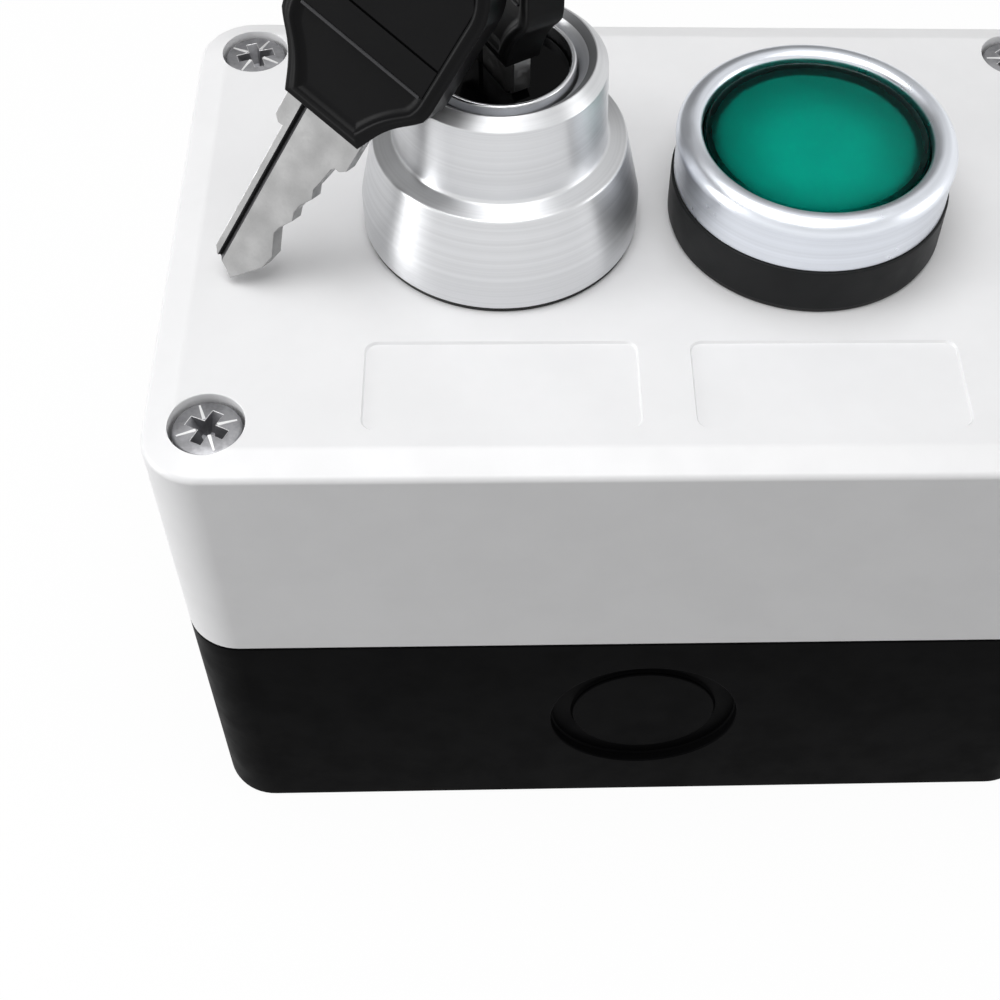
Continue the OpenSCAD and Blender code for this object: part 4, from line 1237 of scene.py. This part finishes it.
    def grip(self) -> Solid:
        """Makes the raised grip across both faces, from its step up to the crown, with a groove in it.

        Returns:
            The grip.
        """
        side, top = self.head_w * HALF - self.rim_w - self.grip_gap, self.top_h - self.rim_w - self.grip_gap
        crown, reach = self.crown_w * HALF - self.rim_w * HALF, self.head_t * HALF - self.grip_drop
        foot, bend = self.step_h, self.side_h - self.grip_bend
        grip = Solid.plate([(-side, foot), (side, foot), (side, bend), (crown, top), (-crown, top),
                            (-side, bend)], -reach, reach)
        grip.soften(self.bead_round, 2)
        rib_x, rib_y, rib_z = side - self.rib_gap, self.rib_w * HALF, reach + self.rib_h
        rib = Solid.block((-rib_x, foot - rib_y, -rib_z), (rib_x, foot + rib_y, rib_z))
        grip.join(rib.soften(self.rib_round, 2))
        low, high = self.groove_h - self.grip_groove * HALF, self.groove_h + self.grip_groove * HALF
        wide, over, deep = side + OVERRUN, reach + OVERRUN, reach - self.grip_groove
        front = Solid.block((-wide, low, deep), (wide, high, over))
        back = Solid.block((-wide, low, -over), (wide, high, -deep))
        return grip.cut(front, back)

    def head(self) -> Solid:
        """Makes the head lying flat, with a raised bead round both faces, its grip and a hole for a ring.

        Returns:
            The head.
        """
        t = self.head_t
        head = Solid.plate(self.head_outline(), -t * HALF, t * HALF)
        beside_neck = self.neck_w * HALF + LEVEL_MM
        head.soften(self.side_round, 6, lambda e: upright(e) and abs(e.verts[0].co.x) > beside_neck)
        shape = head.shape
        for way in SIDES:
            face = max(shape.faces, key=lambda f: f.calc_center_median().z * way * f.calc_area())
            for width, depth in self.bead_insets:
                bmesh.ops.inset_region(shape, faces=[face], thickness=width, depth=depth,
                                       use_even_offset=True)
        tallest = max(v.co.z for v in shape.verts)
        bmesh.ops.scale(shape, vec=(1.0, 1.0, t * HALF / tallest), verts=shape.verts)
        head.soften(self.bead_round, 3, lambda e: not upright(e), sharper_than=15.0)
        self.waist(shape)
        r, wide = self.hole_r, self.hole_r + self.hole_lip
        outer, inner = t * HALF - self.hole_foot, t * HALF - self.hole_lip - self.hole_slope
        hole = Solid.turned([(0, -t), (wide, -t), (wide, -outer), (r, -inner), (r, inner), (wide, outer),
                             (wide, t), (0, t)], steps=56)
        x, z = self.blade_w * HALF, self.blade_t * HALF
        slot = Solid.block((-x, self.neck_h - OVERRUN, -z), (x, self.neck_h + self.tang_l, z))
        head.join(self.grip()).cut(hole.moved((0.0, self.hole_h, 0.0)), slot)
        # The rib's faces get finish 1, painted a lighter grey as a painted highlight
        near, far = t * HALF - self.grip_drop - TOUCH_MM, self.rib_w * HALF + TOUCH_MM
        return head.tinted(1, lambda m: abs(m.y - self.step_h) < far and abs(m.z) > near
                           and abs(m.x) < self.head_w * HALF - self.rim_w)

    def build(self, name: str, body: str, nodes: Sequence[str], stand: Matrix) -> None:
        """Makes a key's blade and head where they stand.

        Args:
            name: what both pieces' names start with.
            body: the body that they move with.
            nodes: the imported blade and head.
            stand: where the key stands, in millimetres.
        """
        lift = stand @ Matrix.Rotation(QUARTER_TURN, 4, "X")
        self.blade().turned_by(lift).piece(name + "_blade_cut", body, KEY_METAL, "nickel_silver", [nodes[0]],
                                           more=[GROOVE_FLOOR_PAINTED_SHADE, GROOVE_WALL_PAINTED_SHADE])
        self.head().turned_by(lift).piece(name + "_head_moulded", body, KEY_PLASTIC, "black_abs", [nodes[1]],
                                          more=[KEY_PLASTIC_PAINTED_HIGHLIGHT])


@dataclass
class Pushbutton:
    """The black body, the chrome bezel, the green lens and the gasket of the pushbutton."""

    gasket_r: float = 14.3
    ring_r: float = 14.5
    tube_r: float = 10.9
    foot_z: float = LID_TOP + GASKET_T
    ring_top: float = 70.7
    ring_edge: float = 0.22
    bezel_r: float = 14.4
    bezel_top: float = 76.8
    bezel_hole_r: float = 11.75
    outer_round: float = 1.5
    inner_round: float = 1.0
    inner_drop: float = 0.75
    band_inset: float = 0.16
    band_edge: float = 0.1
    band_gap: float = 0.2
    lip_z: float = 75.2
    neck_r: float = 12.9
    play: float = 0.1
    floor_z: float = 66.7
    tube_end: float = 53.0
    bore_r: float = 9.6
    lens_r: float = 11.5
    lens_z: float = 72.0
    lens_top: float = 76.4
    lens_t: float = 0.8
    lens_round: float = 0.55
    lens_edge: Point = (0.85, 0.8)
    lens_crown: float = 0.26
    lens_crown_at: tuple = (0.9, 0.75, 0.6, 0.45, 0.3, 0.15)
    lens_thinned: float = 0.02
    diffuser_r: float = 10.3
    diffuser_t: float = 1.0
    diffuser_round: float = 1.1

    def body(self) -> None:
        """Turns the body: the tube through the lid, the black ring and the neck inside the bezel."""
        lip = self.lip_z - self.play
        profile = [(self.bore_r, self.tube_end), (self.tube_r, self.tube_end), (self.tube_r, self.foot_z),
                   (self.ring_r, self.foot_z), (self.ring_r, self.ring_top), (self.neck_r, self.ring_top),
                   (self.neck_r, lip), (self.bezel_hole_r, lip), (self.bezel_hole_r, self.floor_z),
                   (self.bore_r, self.floor_z)]
        Solid.turned(profile, BUTTON_AXIS, 144).soften(self.ring_edge, 3).piece(
            "button_body_ring", "root", BLACK_PA, "black_abs", ["button_body"], crease=60.0)

    def bezel(self) -> None:
        """Turns the bezel: a rim that is round all over and stands a hair proud of its own side band."""
        r, top, hole, foot = self.bezel_r, self.bezel_top, self.bezel_hole_r, self.ring_top
        crown_r, band_r, bore_r = hole + self.inner_round, r - self.band_inset, self.neck_r + self.play
        shoulder = top - self.outer_round
        outer = [(crown_r + (r - crown_r) * x, shoulder + self.outer_round * z)
                 for x, z in arc(ORIGIN, 1, 0, 90, 14)]
        inner = [(crown_r + self.inner_round * x, top - self.inner_drop + self.inner_drop * z)
                 for x, z in arc(ORIGIN, 1, 90, 180, 8)]
        profile = [(bore_r, foot), (band_r - self.band_edge, foot), (band_r, foot + self.band_edge),
                   (band_r, shoulder - self.band_gap), *outer, *inner[1:], (hole, self.lip_z),
                   (bore_r, self.lip_z)]
        Solid.turned(profile, BUTTON_AXIS, 160).piece(
            "button_bezel_chrome", "root", CHROME, "chrome_ring", ["button_bezel"], crease=40.0)

    def lens(self) -> None:
        """Turns the lens cap, with a crown of a quarter of a millimetre, and the diffuser under it."""
        r, t, top, soft = self.lens_r, self.lens_t, self.lens_top, self.lens_round
        crown = [(r * share, top - self.lens_crown * share * share) for share in self.lens_crown_at]
        under, (side_drop, round_drop) = top - t - self.lens_thinned, self.lens_edge
        profile = [(0, under), (r - t, under), (r - t, self.lens_z), (r, self.lens_z), (r, top - side_drop),
                   *arc((r - soft, top - round_drop), soft, 10, 80, 5), *crown, (0, top)]
        Solid.turned(profile, BUTTON_AXIS, 144).piece(
            "button_lens_green", "button_cap", LENS_GREEN, "lens_green", ["button_lens"], crease=50.0)
        under = top - t - self.play
        d, dt, soft = self.diffuser_r, self.diffuser_t, self.diffuser_round
        disc = Solid.turned([(0, under - dt), (d - dt, under - dt), (d - dt, self.lens_z), (d, self.lens_z),
                             *arc((d - soft, under - soft), soft, 0, 90, 8), (0, under)], BUTTON_AXIS, 112)
        disc.piece("button_diffuser_milky", "button_cap", DIFFUSER, "diffuser", ["button_diffuser"],
                   crease=60.0)

    def build(self) -> None:
        """Builds the pushbutton's visible pieces."""
        self.body()
        self.bezel()
        self.lens()
        gasket("button", self.gasket_r, BUTTON_AXIS)


@dataclass
class Spring:
    """A compression spring of round wire, wound between its seats, with one dead turn at each end."""

    node: str
    joint: str
    wire_r: float
    turns: int
    travel: float = 4.0
    per_turn: int = 24
    around: int = 10

    def coil(self, low: Vector, high: Vector) -> Solid:
        """Winds the wire between the lowest and the highest corner of the spring's box.

        Args:
            low: the lowest corner, in millimetres.
            high: the highest corner.

        Returns:
            The coil.
        """
        middle, r = (low + high) * HALF, self.wire_r
        shape = bmesh.new()
        bmesh.ops.create_circle(shape, cap_ends=True, radius=r, segments=self.around)
        stand = Matrix.Translation((high.x - r, middle.y, low.z + r)) @ Matrix.Rotation(QUARTER_TURN, 4, "X")
        bmesh.ops.transform(shape, matrix=stand, verts=shape.verts)
        end = [*shape.verts, *shape.edges, *shape.faces]
        wire = 2 * r
        pitch = (high.z - low.z - 3 * wire) / self.turns
        for turns, rise in ((1, wire), (self.turns, pitch), (1, wire)):
            end = bmesh.ops.spin(shape, geom=end, cent=(middle.x, middle.y, 0.0), axis=UP,
                                 dvec=(0.0, 0.0, rise / self.per_turn), angle=FULL_TURN * turns,
                                 steps=self.per_turn * turns)["geom_last"]
        discs = sorted((f for f in shape.faces if len(f.verts) == self.around),
                       key=lambda f: f.calc_center_median().z)
        bmesh.ops.delete(shape, geom=discs[1:-1], context="FACES_ONLY")
        bmesh.ops.recalc_face_normals(shape, faces=shape.faces)
        return Solid(shape)

    def build(self) -> None:
        """Makes the spring between the corners of its imported node's box, in place of that node."""
        low, high = (Vector(corner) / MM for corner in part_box(self.node))
        coil = self.coil(low, high)
        made = coil.piece(f"{self.node}_coil", "root", SPRING_STEEL, "zinc_steel", [self.node], crease=60.0)
        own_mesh(made)


@dataclass
class Insides:
    """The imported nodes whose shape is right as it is, each with the finish of the real piece."""

    finishes: dict = field(default_factory=lambda: {
        "lid_seal": RUBBER, "key_body": BLACK_PA, "key_fixing_collar": ZINC, "key_clamp_screws": ZINC,
        "lock_plug": BRASS, "lock_wafers": BRASS, "lock_cam": BLACK_PA,
        "button_fixing_collar": ZINC, "button_clamp_screws": ZINC, "button_plunger": BLACK_PA,
        "lamp_holder": GREY_PA, "lamp": LAMP_GREEN})
    block_finishes: dict = field(default_factory=lambda: {
        "housing": GREY_PA, "bridge": SILVER, "contacts": BRASS, "terminals": ZINC})

    def build(self) -> None:
        """Gives each of these nodes its finish."""
        chosen = dict(self.finishes)
        for head in ("key", "button"):
            for kind, plunger in (("no", GREEN_PA), ("nc", RED_PA)):
                chosen[f"{head}_{kind}_plunger"] = plunger
                for part, finish in self.block_finishes.items():
                    chosen[f"{head}_{kind}_{part}"] = finish
        for name, finish in chosen.items():
            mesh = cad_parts[name].data
            mesh.materials.clear()
            mesh.materials.append(finish.material())
            LOG.info("%s is finished as %s", name, finish.name)
        Spring("button_spring", "button_press", wire_r=0.4, turns=4).build()
        for block in ("key_no", "key_nc", "button_no", "button_nc"):
            Spring(f"{block}_spring", f"{block}_press", wire_r=0.2, turns=8).build()


@dataclass
class Studio:
    """The floor, the pale surroundings, the lamps and the camera."""

    camera_at: Place = (-15.99, -127.64, 186.31)
    camera_turn: Place = (0.641, -0.049, -0.008)
    lens_mm: float = 59.04
    sensor_mm: float = 36.0
    shift: float = -0.0847
    floor_mm: float = 6000.0
    floor_white: str = "F6F6F6"
    floor_grey: float = 0.3
    floor_glow: float = 0.95
    world_grey: float = 0.35
    ceiling_grey: float = 0.8
    ceiling_from: float = 0.2
    ceiling_to: float = 0.6
    back_grey: float = 0.25
    back_way: Place = (-0.45, 0.9, 0.0)
    back_from: float = 0.3
    back_to: float = 0.75
    floor_gap_mm: float = 0.1
    near_and_far_m: Point = (0.005, 20.0)
    lamps_aim: Place = (0.0, 0.0, 50.0)
    lamps: dict = field(default_factory=lambda: {
        "overhead": ((-60.0, -60.0, 560.0), (480.0, 400.0), 1.9),
        "left": ((-450.0, -100.0, 140.0), (180.0, 360.0), 1.15),
        "right": ((450.0, -60.0, 190.0), (180.0, 300.0), 0.35)})

    def camera(self) -> None:
        """Puts the camera where the photograph was taken from."""
        data = bpy.data.cameras.new("camera")
        data.sensor_width, data.lens, data.shift_x = self.sensor_mm, self.lens_mm, self.shift
        data.clip_start, data.clip_end = self.near_and_far_m
        made = linked("camera", data)
        made.matrix_world = (Matrix.Translation(Vector(self.camera_at) * MM)
                             @ Euler(self.camera_turn, "ZYX").to_matrix().to_4x4())
        bpy.context.scene.camera = made

    def seen(self, tree: Tree) -> Socket:
        """Gives 1 for what the camera sees, straight, in a mirror or through glass, and 0 for other light.

        Args:
            tree: the node tree of the floor or the world.

        Returns:
            A value socket.
        """
        path = add_node(tree, "LightPath").outputs
        direct = add_node(tree, "Math", {0: path["Is Camera Ray"], 1: path["Is Glossy Ray"]},
                          operation="MAXIMUM")
        return add_node(tree, "Math", {0: direct.outputs[0], 1: path["Is Transmission Ray"]},
                        operation="MAXIMUM").outputs[0]

    def floor(self) -> None:
        """Lays a plain floor: white with a faint shadow to the eye, a plain grey as light."""
        shape = bmesh.new()
        bmesh.ops.create_grid(shape, x_segments=1, y_segments=1, size=self.floor_mm * HALF * MM)
        made = linked("floor", mesh_of("floor", shape))
        made.location.z = -self.floor_gap_mm * MM
        paper = bpy.data.materials.new("white_paper_floor")
        tree = fresh_tree(paper)
        seen = self.seen(tree)
        tone = add_node(tree, "Mix", {
            "Factor": seen, "A": grey(self.floor_grey), "B": linear(self.floor_white)}, data_type="RGBA")
        matt = add_node(tree, "BsdfDiffuse", {"Color": tone.outputs["Result"]})
        white = add_node(tree, "Emission", {"Color": WHITE, "Strength": 1.0})
        share = add_node(tree, "Math", {0: seen, 1: self.floor_glow}, operation="MULTIPLY")
        mixed = add_node(tree, "MixShader", {
            0: share.outputs[0], 1: matt.outputs[0], 2: white.outputs[0]})
        add_node(tree, "OutputMaterial", {"Surface": mixed.outputs[0]})
        made.data.materials.append(paper)

    def fade(self, tree: Tree, way: Place, start: float, end: float, tone: float) -> Socket:
        """Gives a brightness that falls from 1 as one looks more and more one way.

        Args:
            tree: the world's node tree.
            way: the direction of the darker part.
            start: the share of that direction, as a dot product, where it starts to fall.
            end: the share where it is down.
            tone: the brightness that is left.

        Returns:
            A value socket.
        """
        looked = add_node(tree, "TexCoord").outputs["Generated"]
        along = add_node(tree, "VectorMath", {0: looked, 1: way}, operation="DOT_PRODUCT")
        return add_node(tree, "MapRange", {
            "Value": along.outputs["Value"], "From Min": start, "From Max": end,
            "To Min": 1.0, "To Max": tone}, interpolation_type="SMOOTHSTEP").outputs[0]

    def world(self) -> None:
        """Sets the pale surroundings: white to the eye, a plain grey as light.

        A mirror sees white at the sides and in front, and the darker wall behind the table.
        """
        made = bpy.data.worlds.new("surroundings")
        bpy.context.scene.world = made
        tree = fresh_tree(made)
        ceiling = self.fade(tree, UP, self.ceiling_from, self.ceiling_to, self.ceiling_grey)
        back_wall = self.fade(tree, self.back_way, self.back_from, self.back_to, self.back_grey)
        fade = add_node(tree, "Math", {0: ceiling, 1: back_wall}, operation="MINIMUM").outputs[0]
        glossy = add_node(tree, "LightPath").outputs["Is Glossy Ray"]
        mirror = add_node(tree, "Mix", {"Factor": glossy, "A": 1.0, "B": fade}, data_type="FLOAT")
        colour = add_node(tree, "Mix", {
            "Factor": self.seen(tree), "A": grey(self.world_grey), "B": mirror.outputs["Result"]},
            data_type="RGBA")
        back = add_node(tree, "Background", {"Color": colour.outputs["Result"], "Strength": 1.0})
        add_node(tree, "OutputWorld", {"Surface": back.outputs[0]})

    def lamp(self, name: str, at: Place, size: Point, watts: float) -> None:
        """Hangs one soft rectangular lamp that points at the box.

        Args:
            name: the lamp's name.
            at: where it hangs, in millimetres.
            size: its width and height in millimetres.
            watts: its power.
        """
        data = bpy.data.lights.new(name, "AREA")
        data.shape, data.size, data.size_y, data.energy = "RECTANGLE", size[0] * MM, size[1] * MM, watts
        place = Vector(at) * MM
        aim = (Vector(self.lamps_aim) * MM - place).to_track_quat("-Z", "Y")
        linked(name, data).matrix_world = Matrix.Translation(place) @ aim.to_matrix().to_4x4()

    def build(self) -> None:
        """Sets up the studio."""
        self.camera()
        self.floor()
        self.world()
        for name, (at, size, watts) in self.lamps.items():
            self.lamp(name, at, size, watts)
        bpy.context.scene.view_settings.view_transform = "Standard"


def stand_at(place: Place, turn: Place) -> Matrix:
    """Gives the matrix that turns about X, Y and Z in that order, in degrees, and then moves."""
    return Matrix.Translation(place) @ Euler([math.radians(a) for a in turn], "XYZ").to_matrix().to_4x4()


def main() -> None:
    """Builds the sub-assemblies in order and reports each piece."""
    logging.basicConfig(level=logging.INFO, format="%(message)s")
    Studio().build()
    box = Enclosure()
    box.lid()
    box.base()
    CrossScrew().build(box)
    KeySwitch().build()
    Pushbutton().build()
    in_lock = stand_at((*KEY_AXIS, KEY_IN_LOCK_Z), (0.0, 0.0, KEY_HEADING))
    x, y, z = LEANING_AT
    leaning = stand_at((KEY_AXIS[0] + x, KEY_AXIS[1] + y, z), LEANING_TURN)
    Key().build("lock_key", "lock_key", ("key_blade", "key_head"), in_lock)
    Key().build("spare_key", "spare_key", ("spare_key_blade", "spare_key_head"), leaning)
    Insides().build()


if __name__ == "__main__":
    main()
